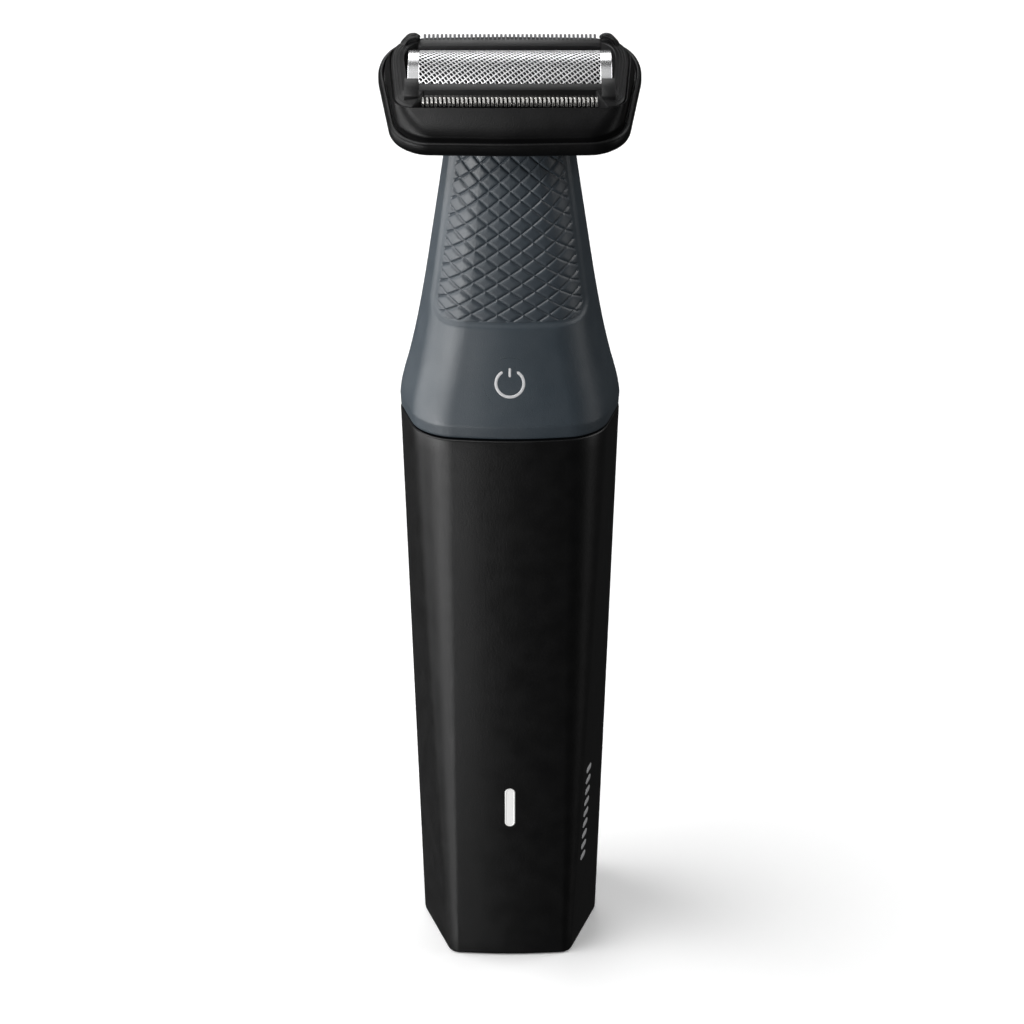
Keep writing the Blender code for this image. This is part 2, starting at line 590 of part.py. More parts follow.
def make_cassette(head):
    """Foil frame with its windows, the arched foil and the two trimmer guards."""
    cassette = prism("foil_frame", head_outline(*CASSETTE_SCALE), CASSETTE_BOTTOM, CASSETTE_TOP,
                     "head_plastic", head)
    cuts = [((-15.1, -BAR_INNER, -1.0), (15.1, BAR_INNER, 9.0)),
            ((-17.5, -BAR_INNER, 4.7), (17.5, BAR_INNER, 9.0)),
            ((-WINDOW_HALF, -BAR_OUTER - 0.01, BAR_TOP), (WINDOW_HALF, BAR_OUTER + 0.01, 9.0)),
            ((-13.6, -6.4, -1.0), (13.6, 6.4, BAR_BOTTOM))]
    for side in (-1, 1):
        low, high = sorted((side * (BAR_INNER - 0.1), side * 12.0))
        cuts.append(((-WINDOW_HALF, low, 3.1), (WINDOW_HALF, high, BAR_BOTTOM)))
        low, high = sorted((side * BAR_OUTER, side * 12.0))
        cuts.append(((-WINDOW_HALF, low, 4.5), (WINDOW_HALF, high, 9.0)))
    for low, high in cuts:
        boolean(cassette, box("cassette_cut", low, high, parent=head))

    angles = [FOIL_SWEEP * (2 * k / FOIL_STEPS - 1) for k in range(FOIL_STEPS + 1)]
    arc = [(FOIL_RADIUS * sin(a), FOIL_CROWN - FOIL_RADIUS * (1 - cos(a))) for a in angles]
    bm = bmesh.new()
    ends = [[bm.verts.new((x * MM, y * MM, z * MM)) for y, z in arc]
            for x in (-FOIL_HALF, FOIL_HALF)]
    for k in range(FOIL_STEPS):
        bm.faces.new((ends[0][k], ends[1][k], ends[1][k + 1], ends[0][k + 1]))
    foil = mesh_object("shaving_foil", bm, "foil_steel", head)
    thicken(foil, FOIL_THICK)
    for side, name in ((-1, "front"), (1, "rear")):
        comb(name + "_trimmer_guard", WINDOW_HALF - GAP, GUARDS[name], side, GUARD_FILL, head)


def coil(name, centre_x, finish, parent):
    """Small compression spring on a polyline path."""
    curve = bpy.data.curves.new(name, "CURVE")
    curve.dimensions = "3D"
    curve.bevel_depth = SPRING_WIRE / 2 * MM
    curve.bevel_resolution = 1
    curve.use_fill_caps = True
    spline = curve.splines.new("POLY")
    steps = SPRING_TURNS * 12
    spline.points.add(steps)
    for k, point in enumerate(spline.points):
        angle = 2 * pi * k / 12
        x = centre_x + SPRING_RADIUS * cos(angle)
        z = SPRING_BOTTOM + (SPRING_TOP - SPRING_BOTTOM) * k / steps
        point.co = (x * MM, SPRING_RADIUS * sin(angle) * MM, z * MM, 1.0)
    obj = bpy.data.objects.new(name, curve)
    obj.parent = parent
    dress(obj, finish)
    return obj


def make_cutter(cutter):
    """Everything that slides from side to side in the head."""
    block = box("cutter_block", (-14.2, -4.4, 4.6), (14.2, 4.4, 7.3), "steel", cutter)
    barrel = cylinder("cutter_barrel", FOIL_RADIUS - 0.6, -14.6, 14.6, parent=cutter, segments=64)
    barrel.rotation_euler = (0.0, pi / 2, 0.0)
    barrel.location = (0.0, 0.0, (FOIL_CROWN - FOIL_RADIUS) * MM)
    boolean(block, barrel, "INTERSECT")
    carrier = box("cutter_carrier", (-12.0, -5.7, 1.7), (12.0, 5.7, 4.05), "inner_plastic", cutter)
    boolean(carrier, box("carrier_tray", (-13.0, -4.7, 2.6), (13.0, 4.7, 5.0), parent=cutter))
    yoke = box("drive_yoke", (-4.6, -5.2, -1.1), (4.6, 2.6, 1.4), "inner_plastic", cutter)
    slot = DRIVE_PIN_RADIUS + ECCENTRICITY + CUTTER_STROKE + 0.4
    boolean(yoke, box("yoke_slot", (-slot, -4.0, -3.0), (slot, 1.5, 3.0), parent=cutter))
    for side, name in ((-1, "front"), (1, "rear")):
        comb(name + "_trimmer_blade", BLADE_HALF, BLADES[name], side, BLADE_FILL, cutter)
    for side, name in ((-1, "left"), (1, "right")):
        coil("cutter_spring_" + name, side * SPRING_X, "steel", cutter)


make_sleeve()
make_bottom()
make_neck_shells()
make_neck_inside()
make_frame()
make_electrics()
make_motor()
head_axis = joint_empty("head_axis", (0.0, 0.0, NECK_TOP_Z))
head_frame = joint_empty("head_frame", Vector(HEAD_ORIGIN) - Vector((0.0, 0.0, NECK_TOP_Z)),
                         head_axis, HEAD_LEAN)
make_head(head_frame)
make_cutter(joint_empty("cutter_axis", (0.0, 0.0, 0.0), head_frame))
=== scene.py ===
"""Looks of the body groomer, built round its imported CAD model.

Lengths are in millimetres and the helpers turn them into metres. X is across the handle,
-Y is its front and Z is up. The head's pieces are made in the head's own frame, which leans
forward: X is across, Y runs from the front trimmer to the rear one, and Z points out of the foil.
"""

from math import atan2, cos, pi, radians, sin, sqrt, tan

import bmesh
import bpy
import numpy as np
from mathutils import Matrix, Vector


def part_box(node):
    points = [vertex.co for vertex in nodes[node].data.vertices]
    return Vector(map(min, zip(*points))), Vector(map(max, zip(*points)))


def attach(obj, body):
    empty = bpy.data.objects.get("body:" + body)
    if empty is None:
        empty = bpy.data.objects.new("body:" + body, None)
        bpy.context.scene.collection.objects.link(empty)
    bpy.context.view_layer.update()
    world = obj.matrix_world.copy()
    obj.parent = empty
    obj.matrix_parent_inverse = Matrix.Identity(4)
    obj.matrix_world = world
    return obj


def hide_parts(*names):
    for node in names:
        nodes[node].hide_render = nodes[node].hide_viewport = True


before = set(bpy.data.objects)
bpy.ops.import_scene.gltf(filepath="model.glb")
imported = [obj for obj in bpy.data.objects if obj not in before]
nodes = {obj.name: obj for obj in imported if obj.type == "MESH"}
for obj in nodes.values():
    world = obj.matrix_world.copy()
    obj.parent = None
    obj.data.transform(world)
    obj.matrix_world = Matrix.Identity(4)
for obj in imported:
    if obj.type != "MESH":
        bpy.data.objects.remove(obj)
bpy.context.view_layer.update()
scene = bpy.context.scene

MM = 0.001
UPRIGHT = Matrix.Rotation(pi / 2, 4, "X")  # stands a flat outline up, facing the front
SIDES = ((-1, "front"), (1, "rear"))


def node_box(name):
    low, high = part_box(name)
    return low / MM, high / MM


# ---- dimensions

# Handle and neck: half width, half depth, front corner x and y, corner radius, crown radius
SEAM_Z = node_box("handle_sleeve")[1].z
NECK_Z = node_box("neck_front_cover")[0].z
NECK_TOP_Z = node_box("neck_front_cover")[1].z
BASE_SECTION = (16.70, 16.62, 11.07, 15.85, 2.4, 80.0)
SEAM_SECTION = (19.60, 15.81, 15.64, 13.90, 8.6, 64.0)
SIDE_RADIUS = 6.0
NECK_CORNER = (0.80, 0.88)
NECK_TOP_RADII = (8.0, 22.0)
NECK_FOOT = (19.50, 15.50)  # half width and half depth at the seam
NECK_SECTIONS = (  # height, half width, half depth, from the crease up
    (111.4, 19.64, 15.80), (113.4, 19.38, 15.38), (115.6, 18.88, 14.94), (119.3, 17.86, 14.22),
    (125.1, 16.52, 13.36), (132.7, 15.10, 12.42), (144.0, 13.30, 11.06), (155.0, 11.62, 9.76),
    (159.5, 11.00, 9.30))
SIDE_STEPS, CORNER_STEPS, CROWN_STEPS = 10, 16, 24
SLEEVE_WALL, NECK_WALL = 1.6, 1.9
SLEEVE_FOOT_ROUND, SLEEVE_TOP_ROUND, NECK_FOOT_ROUND = 0.7, 0.35, 0.35
RING_STEP = 0.3  # height between the neck's rings
COVER_SAMPLES = 200  # points across half of the neck
INNER_HEIGHTS = (144.0, 132.7, 125.1, 119.3, 113.4)

# Grip pads
PAD_BOTTOM, PAD_TOP = 128.9, 159.3
PAD_BOTTOM_HALF, PAD_TOP_HALF = 14.5, 10.16
PAD_CORNER = 3.6
RECESS, RECESS_RUN = 0.34, 0.7  # depth of the soft step round the grip, and its width
POCKET_DEPTH = 1.0  # how deep the cover goes behind the grip
GRIP_EDGE = 1.0  # where the grip starts, in from the pad's outline
GRIP_MARGIN = 0.7  # from the pad's outline to its mesh
GROOVES_ACROSS, GROOVES_PAST = 3.2, 0.4  # pitches from the middle to this far past the side
GROOVE_TOP, GROOVE_RISE = 157.42, 3.12  # where the grooves start, height between them
GROOVE_STRETCH = 0.0026  # how much closer they get per millimetre downwards
GROOVE_DEPTH, GROOVE_HALF = 0.25, 0.085  # depth, and half width as a share of the pitch
PILLOW, PILLOW_RUN = 0.07, 0.22  # how far the diamonds stand out, and their soft edge
PAD_PROUD = 0.015  # how far the pad lies above the floor of its recess
FIELD_EDGE, FIELD_RUN = 0.6, 0.6  # where the diamonds start, in from the pad's outline
GRIP_EDGE_RUN = 0.25  # how softly it starts there
POCKET_CLEAR, POCKET_RUN = 0.15, 0.4  # the pocket starts a little inside the grip's edge
GRIP_COLUMNS, GRIP_ROWS = 220, 236

# Power button and its mark
BUTTON_Z, BUTTON_Y = 119.2, -14.24
BUTTON_RADIUS, BUTTON_THICK, BUTTON_SIDES = 4.61, 1.2, 96
BUTTON_HOLE = 6.0  # how far its hole reaches, both ways
BUTTON_LEAN = radians(10.5)
MARK_RADIUS, MARK_STROKE, MARK_GAP = 2.42, 0.50, radians(31)
MARK_BAR_LOW, MARK_BAR_HIGH, MARK_BAR_STROKE = 1.12, 2.78, 0.42

# Charge indicator and side marks
LENS_Z, LENS_HALF_HEIGHT, LENS_RADIUS, LENS_BACK = 33.3, 4.2, 0.95, 13.0
LENS_RINGS = (  # inset, lift from its front; None is the back
    (0.0, None), (0.0, -0.16), (0.05, -0.06), (0.14, 0.0), (0.26, -0.02), (0.30, -0.05))
SIDE_MARK_FROM, SIDE_MARK_TO, SIDE_MARK_COUNT = 17.8, 39.0, 9
SIDE_MARK_HALF, SIDE_MARK_RADIUS = 0.75, 0.62
SIDE_MARK_PLACE = 3.1  # of their middle line, from the face's front edge

# Head
HEAD_LEAN = radians(18)
HEAD_ORIGIN = (0.0, 1.24, 166.4)
HEAD_PLACE = Matrix.Translation(HEAD_ORIGIN) @ Matrix.Rotation(HEAD_LEAN, 4, "X")
HEAD_CORNERS = (  # x, y, radius, steps, from the front round to the rear
    (0.0, -15.8, 150.0, 24), (19.5, -15.3, 7.0, 18), (22.95, 6.0, 12.0, 12),
    (20.5, 15.0, 8.5, 18), (0.0, 15.4, 150.0, 24))
OPENING_CORNERS = (  # the same for the shell's opening, level with its lip
    (0.0, -10.5, 150.0, 24), (19.5, -10.3, 3.2, 18), (20.8, 4.5, 14.0, 12),
    (19.4, 9.9, 4.2, 18), (0.0, 10.2, 150.0, 24))
BELLY = 1.8  # how far the underside bulges
UNDERSIDE_FOOT = (1.05, 1.06)  # its foot, as a share of the neck's top
UNDERSIDE_RISES = (0.3, 1.3)  # heights of its foot and its knee over the neck's top
RIM_RINGS = (  # height, scale across, scale in depth
    (-1.7, 0.950, 0.940), (-1.56, 0.967, 0.962), (-1.36, 0.983, 0.980), (-1.1, 0.995, 0.993),
    (-0.8, 1.0, 1.0), (-0.2, 1.0, 1.0), (0.5, 0.9985, 0.998), (0.78, 0.995, 0.993),
    (0.98, 0.989, 0.986), (1.1, 0.980, 0.976), (1.14, 0.971, 0.966), (1.08, 0.964, 0.957),
    (0.9, 0.960, 0.951), (0.3, 0.957, 0.946), (0.2, 0.90, 0.85))
RIM_INSIDE = ((-0.6, 0.895, 0.845), (-0.6, 0.94, 0.93), (-1.2, 0.89, 0.88))
SHELL_FOOT = (0.947, 0.916)  # scale of the head's outline that gives the shell's foot
SHELL_RINGS = (  # height, share of the way from foot to lip, inset
    (0.36, 0.0, 0.14), (1.2, 0.0, 0.06), (1.45, 0.0, 0.0), (1.75, 0.01, 0.0), (2.1, 0.06, 0.0),
    (3.0, 0.32, 0.0), (3.9, 0.60, 0.0), (4.45, 0.835, 0.0), (4.78, 0.955, 0.0), (4.9, 1.0, 0.0),
    (4.84, 1.0, 0.14), (4.6, 1.0, 0.22), (2.4, 1.0, 0.24), (2.2, 0.75, 0.3), (1.2, 0.3, 0.9))
REAR_DROP = 1.5  # how much lower the shell's lip is behind the foil
REAR_DROP_START, REAR_DROP_RUN = 4.5, 5.0
FOIL_HALF, FOIL_CHORD, FOIL_RADIUS, FOIL_CROWN = 17.2, 4.9, 7.5, 7.4
FOIL_SWEEP = atan2(FOIL_CHORD, sqrt(FOIL_RADIUS ** 2 - FOIL_CHORD ** 2))
MESH_HALF = 15.75  # half length of the perforated part of the foil
MESH_STEPS = ((0.46, 0.36), (0.50, -0.66))  # from a hole to its neighbours, along and round
MESH_THICK = 0.09
FOIL_STRIP = (  # place along the foil, lift off its surface
    (MESH_HALF - 0.45, 0.02), (MESH_HALF - 0.4, 0.05), (16.3, 0.055), (FOIL_HALF - 0.05, 0.05),
    (FOIL_HALF, 0.02), (FOIL_HALF, -0.2), (MESH_HALF - 0.45, -0.2))
HOLE_SHARE = (0.70, 0.80)  # hole over cell, towards its corners and its sides

# Frame of the foil
WINDOW_HALF = 15.4
BAR_BOTTOM, BAR_TOP = 2.9, 6.1
LEDGE_BOTTOM, LEDGE_TOP = 0.3, 3.1
BARS = (  # inner and outer face of a bar, far edge of its ledge
    (-5.2, -7.0, -9.6), (5.45, 7.35, 9.3))
CASSETTE_TOP = (0.875, 0.70)  # scale of the shell's opening that gives the frame's top
CASSETTE_RINGS = (  # height, share of the way from the opening to that top
    (0.2, 0.13), (4.4, 0.13), (4.66, 0.145), (4.78, 0.18), (4.98, 0.33), (4.92, 0.355),
    (5.24, 0.52), (5.18, 0.545), (5.58, 0.725), (5.52, 0.75), (5.96, 0.91), (6.1, 1.0),
    (6.0, 1.06), (0.2, 1.06))
HUMP = (  # x, z, radius, steps of the rear post's outline
    (15.4, 4.4, 0.5, 3), (15.4, 6.7, 0.8, 6), (16.2, 7.04, 0.5, 4), (17.3, 7.04, 1.6, 8),
    (18.75, 5.3, 2.5, 6), (19.0, 4.0, 0.5, 3))
HUMP_DEPTHS = (  # depth, inset
    (6.75, 0.44), (7.05, 0.14), (7.3, 0.0), (7.9, 0.0), (8.2, 0.12), (8.4, 0.44))
HUMP_ARCH = (  # x, depth, z along the raised edge of the rear post
    (17.95, 6.75, 4.6), (17.9, 6.78, 5.6), (17.55, 6.82, 6.3), (16.9, 6.86, 6.68),
    (16.2, 6.92, 6.84), (15.7, 7.0, 6.9))
ARCH_RADIUS, ARCH_END_RADIUS = 0.26, 0.42
ROUND_STEPS = 12  # points round the raised edge
POST_INNER, POST_OUTER = 15.4, 17.7
FRONT_POST = (  # depth, height
    (-4.2, 4.0), (-4.2, 6.45), (-6.2, 6.45), (-8.2, 5.95), (-8.4, 5.7), (-8.4, 3.0))

# Trimmers and cutter block
TOOTH_PITCH = 0.73
TOOTH_SECTION = ((-0.5, 0.0), (-0.5, 0.7), (-0.3, 1.0), (0.3, 1.0), (0.5, 0.7), (0.5, 0.0))
GUARD_PATHS = {  # (depth, height) points from the root to the tip
    "front": ((7.1, 5.06), (7.5, 4.95), (8.3, 4.62), (8.5, 4.50), (8.62, 4.28), (8.68, 3.9)),
    "rear": ((7.3, 5.5), (7.8, 5.5), (9.3, 5.5), (9.8, 5.46), (9.95, 5.40))}
BLADE_PATHS = {
    "front": ((6.0, 4.05), (7.1, 4.05), (8.1, 4.05)),
    "rear": ((4.8, 4.75), (7.7, 4.75), (8.7, 4.75))}
GUARD_LOOKS = {"front": "blade_steel", "rear": "guard_steel"}
GUARD_TOOTH, BLADE_TOOTH = (0.40, 0.30), (0.36, 0.38)  # width and thickness of a tooth
GUARD_HALF, BLADE_HALF = WINDOW_HALF - 0.3, 14.2
PLATE_DROP = 0.02  # how far a comb's plate lies under its teeth
LAMELLAE, LAMELLA_HALF = 40, 0.1  # number of thin blades, half of their thickness
LAMELLA_ROW_HALF, LAMELLA_RADIUS, LAMELLA_SWEEP = 14.0, FOIL_RADIUS - 0.6, 0.62
LAMELLA_FOOT = ((-4.0, 4.9), (4.0, 4.9))  # (depth, height)
SPINE = ((-3.4, 4.7), (3.4, 5.2))  # the bar that holds them

# Post under the head
SPIGOT_HALF, SPIGOT_RADIUS, SPIGOT_BORE = 1.4, 5.96, 3.4
SPIGOT_PLATE = (153.8, 156.0)
SPIGOT_RINGS = (  # height, inset
    (156.0, 0.0), (160.3, 0.0), (160.5, 0.22), (161.2, 0.22), (161.4, 0.0), (162.7, 0.0),
    (163.0, 0.12), (163.15, 0.4))
BORE_TOP_RINGS = ((163.15, -0.2), (162.95, 0.0))
SEAL_GAP = 0.4  # between the neck's wall and the plate inside it

# Materials
PLASTICS = {  # colour, roughness, specular, depth and scale of the grain
    "black_plastic": ((0.0020, 0.0020, 0.0022), 0.39, 0.40),
    "head_plastic": ((0.0022, 0.0022, 0.0024), 0.38, 0.24, 0.00003, 5200.0),
    "cassette_plastic": ((0.0055, 0.0055, 0.0058), 0.44, 0.28),
    "slate_plastic": ((0.037, 0.050, 0.062), 0.43, 0.85, 0.00003, 7000.0),
    "grip_rubber": ((0.035, 0.046, 0.057), 0.45, 0.85, 0.00003, 3600.0),
    "inner_plastic": ((0.50, 0.50, 0.48), 0.5, 0.4),
    "seal_rubber": ((0.012, 0.012, 0.013), 0.75, 0.2, 0.00004),
    "cell_wrap": ((0.05, 0.22, 0.11), 0.35, 0.5, 0.00001),
    "mark_grey": ((0.66, 0.66, 0.67), 0.4, 0.5, 0.00001),
    "side_mark": ((0.62, 0.62, 0.63), 0.45, 0.3, 0.00001),
}
EVEN, LENGTHWAYS = (1.0, 1.0, 1.0), (0.05, 1.0, 1.0)  # no brushing, brushing along X
METAL_GRAIN = 0.000004
BOARD_COLORS = ((0.010, 0.085, 0.032), (0.012, 0.105, 0.040), (0.030, 0.180, 0.080))
METALS = {  # colour, roughness, direction of the brushing
    "steel": ((0.56, 0.56, 0.57), 0.28),
    "foil_steel": ((0.86, 0.86, 0.87), 0.36),
    "strip_steel": ((0.90, 0.90, 0.91), 0.24, LENGTHWAYS),
    "blade_steel": ((0.78, 0.77, 0.75), 0.24, LENGTHWAYS),
    "guard_steel": ((0.11, 0.11, 0.115), 0.45),
    # steel darkened as painted shade: it stands for the shade under the foil and under the
    # trimmer guards
    "shade_painted_steel": ((0.05, 0.05, 0.052), 0.40),
    "brass": ((0.72, 0.50, 0.22), 0.25),
}

# Lights: name, azimuth, elevation, spread, strength
SOFT_BOXES = (
    ("box_left", -90.0, 50.0, 50.0, 2.20), ("box_rear", -172.0, 42.0, 34.0, 0.80),
    ("box_right", 100.0, 40.0, 40.0, 1.10), ("box_top_left", -60.0, 65.0, 60.0, 0.45))
TABLE_CARDS = (
    ("card_left", -100.0, -5.0, 40.0, 1.00), ("card_front_left", -70.0, -8.0, 30.0, 0.80),
    ("card_front", -50.0, -15.0, 25.0, 0.90), ("card_low", -40.0, -3.0, 25.0, 0.55),
    ("card_near", -28.0, -27.0, 14.0, 0.38), ("card_right", 78.0, -10.0, 26.0, 0.20))
HEAD_LIGHT_PLACE, HEAD_LIGHT_AIM = (-40.0, -70.0, 235.0), (-14.0, -10.0, 164.0)
HEAD_LIGHT_SIZE, HEAD_LIGHT_POWER = 24.0, 0.035
WORLD_STRENGTH = 0.03
FLOOR_WHITE, FLOOR_GLOW, FLOOR_HALF = 0.95, 0.12, 30000.0

# Camera
CAMERA_LENS, CAMERA_SENSOR = 100.0, 36.0
CAMERA_PITCH = radians(27)
CAMERA_DISTANCE, CAMERA_TARGET = 521.09, (0.37, 0.0, 86.92)


# ---- materials

def fill(inputs, **values):
    """Set a node's inputs by name, with _ for a space."""
    for name, value in values.items():
        inputs[name.replace("_", " ")].default_value = value


def shader_inputs(made):
    return made.node_tree.nodes["Principled BSDF"].inputs


def material(name, color, roughness, metallic=0.0, specular=0.5):
    """Principled material with plain values."""
    made = bpy.data.materials.new(name)
    made.use_nodes = True
    fill(shader_inputs(made), Base_Color=(*color, 1.0), Roughness=roughness, Metallic=metallic,
         Specular_IOR_Level=specular)
    return made


def glow(made, color, strength):
    """Light given off by the material itself."""
    fill(shader_inputs(made), Emission_Color=(*color, 1.0), Emission_Strength=strength)


def noise(tree, scale, detail, stretch):
    """Noise in the object's own coordinates; scale is in features per metre."""
    coordinates = tree.nodes.new("ShaderNodeTexCoord")
    mapping = tree.nodes.new("ShaderNodeMapping")
    fill(mapping.inputs, Scale=stretch)
    texture = tree.nodes.new("ShaderNodeTexNoise")
    fill(texture.inputs, Scale=scale, Detail=detail)
    tree.links.new(coordinates.outputs["Object"], mapping.inputs["Vector"])
    tree.links.new(mapping.outputs["Vector"], texture.inputs["Vector"])
    return texture.outputs["Fac"]


def spread(tree, value, low, high):
    """Map a noise value, which stays round 0.5, to the range from low to high."""
    node = tree.nodes.new("ShaderNodeMapRange")
    fill(node.inputs, From_Min=0.3, From_Max=0.7, To_Min=low, To_Max=high)
    tree.links.new(value, node.inputs["Value"])
    return node.outputs["Result"]


def vary_roughness(made, amount, scale, stretch=EVEN):
    """Raise and lower the roughness in soft patches."""
    tree = made.node_tree
    roughness = shader_inputs(made)["Roughness"]
    middle = roughness.default_value
    value = spread(tree, noise(tree, scale, 3.0, stretch), middle - amount, middle + amount)
    tree.links.new(value, roughness)


def vary_color(made, amount, scale, stretch=EVEN):
    """Lighten and darken the colour by a share, in soft patches."""
    tree = made.node_tree
    base = shader_inputs(made)["Base Color"]
    color = base.default_value[:3]
    mix = tree.nodes.new("ShaderNodeMix")
    mix.data_type = "RGBA"
    mix.inputs[6].default_value = (*[c * (1 - amount) for c in color], 1.0)
    mix.inputs[7].default_value = (*[c * (1 + amount) for c in color], 1.0)
    tree.links.new(spread(tree, noise(tree, scale, 3.0, stretch), 0.0, 1.0), mix.inputs[0])
    tree.links.new(mix.outputs[2], base)


def grain(made, scale, depth, stretch=EVEN):
    """Fine moulded or brushed texture; depth in metres."""
    tree = made.node_tree
    bump = tree.nodes.new("ShaderNodeBump")
    fill(bump.inputs, Distance=depth)
    tree.links.new(noise(tree, scale, 2.0, stretch), bump.inputs["Height"])
    tree.links.new(bump.outputs["Normal"], shader_inputs(made)["Normal"])


def plastic(name, color, roughness, specular, depth=0.00002, scale=3200.0):
    made = material(name, color, roughness, specular=specular)
    vary_roughness(made, 0.04, 260.0)
    vary_color(made, 0.05, 120.0)
    grain(made, scale, depth)
    return made


def metal(name, color, roughness, stretch=EVEN):
    made = material(name, color, roughness, metallic=1.0)
    vary_roughness(made, 0.05, 900.0, stretch)
    vary_color(made, 0.04, 300.0, stretch)
    grain(made, 4000.0, METAL_GRAIN, stretch)
    return made


def make_board_material():
    """Green solder mask with a faint pattern of tracks."""
    made = material("board_green", BOARD_COLORS[0], 0.38)
    vary_roughness(made, 0.06, 700.0)
    tree = made.node_tree
    coordinates = tree.nodes.new("ShaderNodeTexCoord")
    brick = tree.nodes.new("ShaderNodeTexBrick")
    first, second, mortar = ((*color, 1.0) for color in BOARD_COLORS)
    fill(brick.inputs, Scale=320.0, Mortar_Size=0.03, Color1=first, Color2=second, Mortar=mortar)
    tree.links.new(coordinates.outputs["Object"], brick.inputs["Vector"])
    tree.links.new(brick.outputs["Color"], shader_inputs(made)["Base Color"])
    return made


def make_lens_material():
    """White plastic with a faint glow of its own."""
    made = material("indicator_white", (0.86, 0.86, 0.85), 0.25)
    glow(made, (1.0, 1.0, 0.98), 0.25)
    vary_roughness(made, 0.05, 900.0)
    grain(made, 5000.0, METAL_GRAIN)
    return made


MATERIALS = {name: plastic(name, *values) for name, values in PLASTICS.items()}
MATERIALS.update((name, metal(name, *values)) for name, values in METALS.items())
MATERIALS["board"] = make_board_material()
MATERIALS["lens"] = make_lens_material()


# ---- mesh helpers

def new_object(name, mesh):
    made = bpy.data.objects.new(name, mesh)
    scene.collection.objects.link(made)
    return made


def mesh_from(name, points, faces, place=None):
    """Object with its mesh in metres, from points in millimetres."""
    mesh = bpy.data.meshes.new(name)
    mesh.from_pydata(np.asarray(points, float).reshape(-1, 3).tolist(), [], faces)
    if place is not None:
        mesh.transform(place)
    mesh.transform(Matrix.Scale(MM, 4))
    mesh.validate()
    mesh.update()
    return new_object(name, mesh)


def finish_piece(obj, look, body, *replaced, slot=None, sharp=35.0):
    """Shade a piece, dress it, and tie it to its CAD body and nodes."""
    obj.data.shade_smooth()
    obj.data.set_sharp_from_angle(angle=radians(sharp))
    obj.data.materials.clear()
    obj.data.materials.append(MATERIALS[look])
    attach(obj, body)
    if replaced:
        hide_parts(*replaced)


def settle(obj):
    """Turn a piece's modifiers into its mesh."""
    bpy.context.view_layer.update()
    evaluated = obj.evaluated_get(bpy.context.evaluated_depsgraph_get())
    mesh = bpy.data.meshes.new_from_object(evaluated)
    obj.modifiers.clear()
    old = obj.data
    obj.data = mesh
    bpy.data.meshes.remove(old)


def cut(obj, *tools):
    """Cut a piece with other solids, which are then removed."""
    for tool in tools:
        modifier = obj.modifiers.new("cut", "BOOLEAN")
        modifier.operation = "DIFFERENCE"
        modifier.object = tool
        modifier.solver = "EXACT"
    settle(obj)
    for tool in tools:
        bpy.data.objects.remove(tool, do_unlink=True)


def bevel(obj, width, segments, angle):
    modifier = obj.modifiers.new("rounding", "BEVEL")
    modifier.width = width * MM
    modifier.segments = segments
    modifier.limit_method = "ANGLE"
    modifier.angle_limit = radians(angle)


def join(name, objects):
    """One object from several."""
    bm = bmesh.new()
    for obj in objects:
        bm.from_mesh(obj.data)
        bpy.data.objects.remove(obj, do_unlink=True)
    mesh = bpy.data.meshes.new(name)
    bm.to_mesh(mesh)
    bm.free()
    return new_object(name, mesh)


def grid_faces(rows, columns, closed=False, start=0):
    """Quads between rows of points that follow one another."""
    faces = []
    last = columns if closed else columns - 1
    for i in range(rows - 1):
        for j in range(last):
            k = (j + 1) % columns
            a = start + i * columns
            faces.append((a + j, a + k, a + columns + k, a + columns + j))
    return faces


def loft(name, rings, place=None, capped=False, wrapped=False):
    """Skin through closed rings of equally many points, bottom ring first."""
    rings = np.asarray(rings, float)
    if wrapped:
        rings = np.concatenate([rings, rings[:1]])
    rows, columns = rings.shape[:2]
    faces = grid_faces(rows, columns, closed=True)
    if capped:
        faces.append(tuple(reversed(range(columns))))
        faces.append(tuple(range((rows - 1) * columns, rows * columns)))
    obj = mesh_from(name, rings, faces, place)
    if wrapped:
        weld(obj)
    return obj


def weld(obj, distance=0.0005):
    """Make one point of those that lie within a distance of each other."""
    bm = bmesh.new()
    bm.from_mesh(obj.data)
    bmesh.ops.remove_doubles(bm, verts=bm.verts, dist=distance * MM)
    bm.to_mesh(obj.data)
    bm.free()


def face_outwards(obj):
    bm = bmesh.new()
    bm.from_mesh(obj.data)
    bmesh.ops.recalc_face_normals(bm, faces=bm.faces)
    bm.to_mesh(obj.data)
    bm.free()


def solid(name, rings, place=None):
    """Closed skin through rings, with its faces turned outwards."""
    made = loft(name, rings, place, capped=True)
    face_outwards(made)
    return made


def slab(name, outline, low, high, place=None):
    """Flat outline thickened from low to high along Z."""
    rings = [[(x, y, z) for x, y in outline] for z in (low, high)]
    return loft(name, rings, place, capped=True)


def block(name, first, second, place=None):
    """Box between any two opposite corners."""
    low, high = np.minimum(first, second), np.maximum(first, second)
    outline = ((low[0], low[1]), (high[0], low[1]), (high[0], high[1]), (low[0], high[1]))
    return slab(name, outline, low[2], high[2], place)


def smoothstep(value):
    value = np.clip(value, 0.0, 1.0)
    return value * value * (3.0 - 2.0 * value)


# ---- outlines

def rounded_outline(corners):
    """Points of a closed, anticlockwise outline, from (x, y, radius, steps) corners."""
    points = []
    for i, (x, y, radius, steps) in enumerate(corners):
        here = Vector((x, y))
        before = (Vector(corners[i - 1][:2]) - here).normalized()
        after = (Vector(corners[(i + 1) % len(corners)][:2]) - here).normalized()
        half = before.angle(after) / 2
        centre = here + (before + after).normalized() * (radius / sin(half))
        arm = here + before * (radius / tan(half)) - centre
        for k in range(steps + 1):
            points.append(centre + Matrix.Rotation((pi - 2 * half) * k / steps, 2) @ arm)
    return np.array(points)


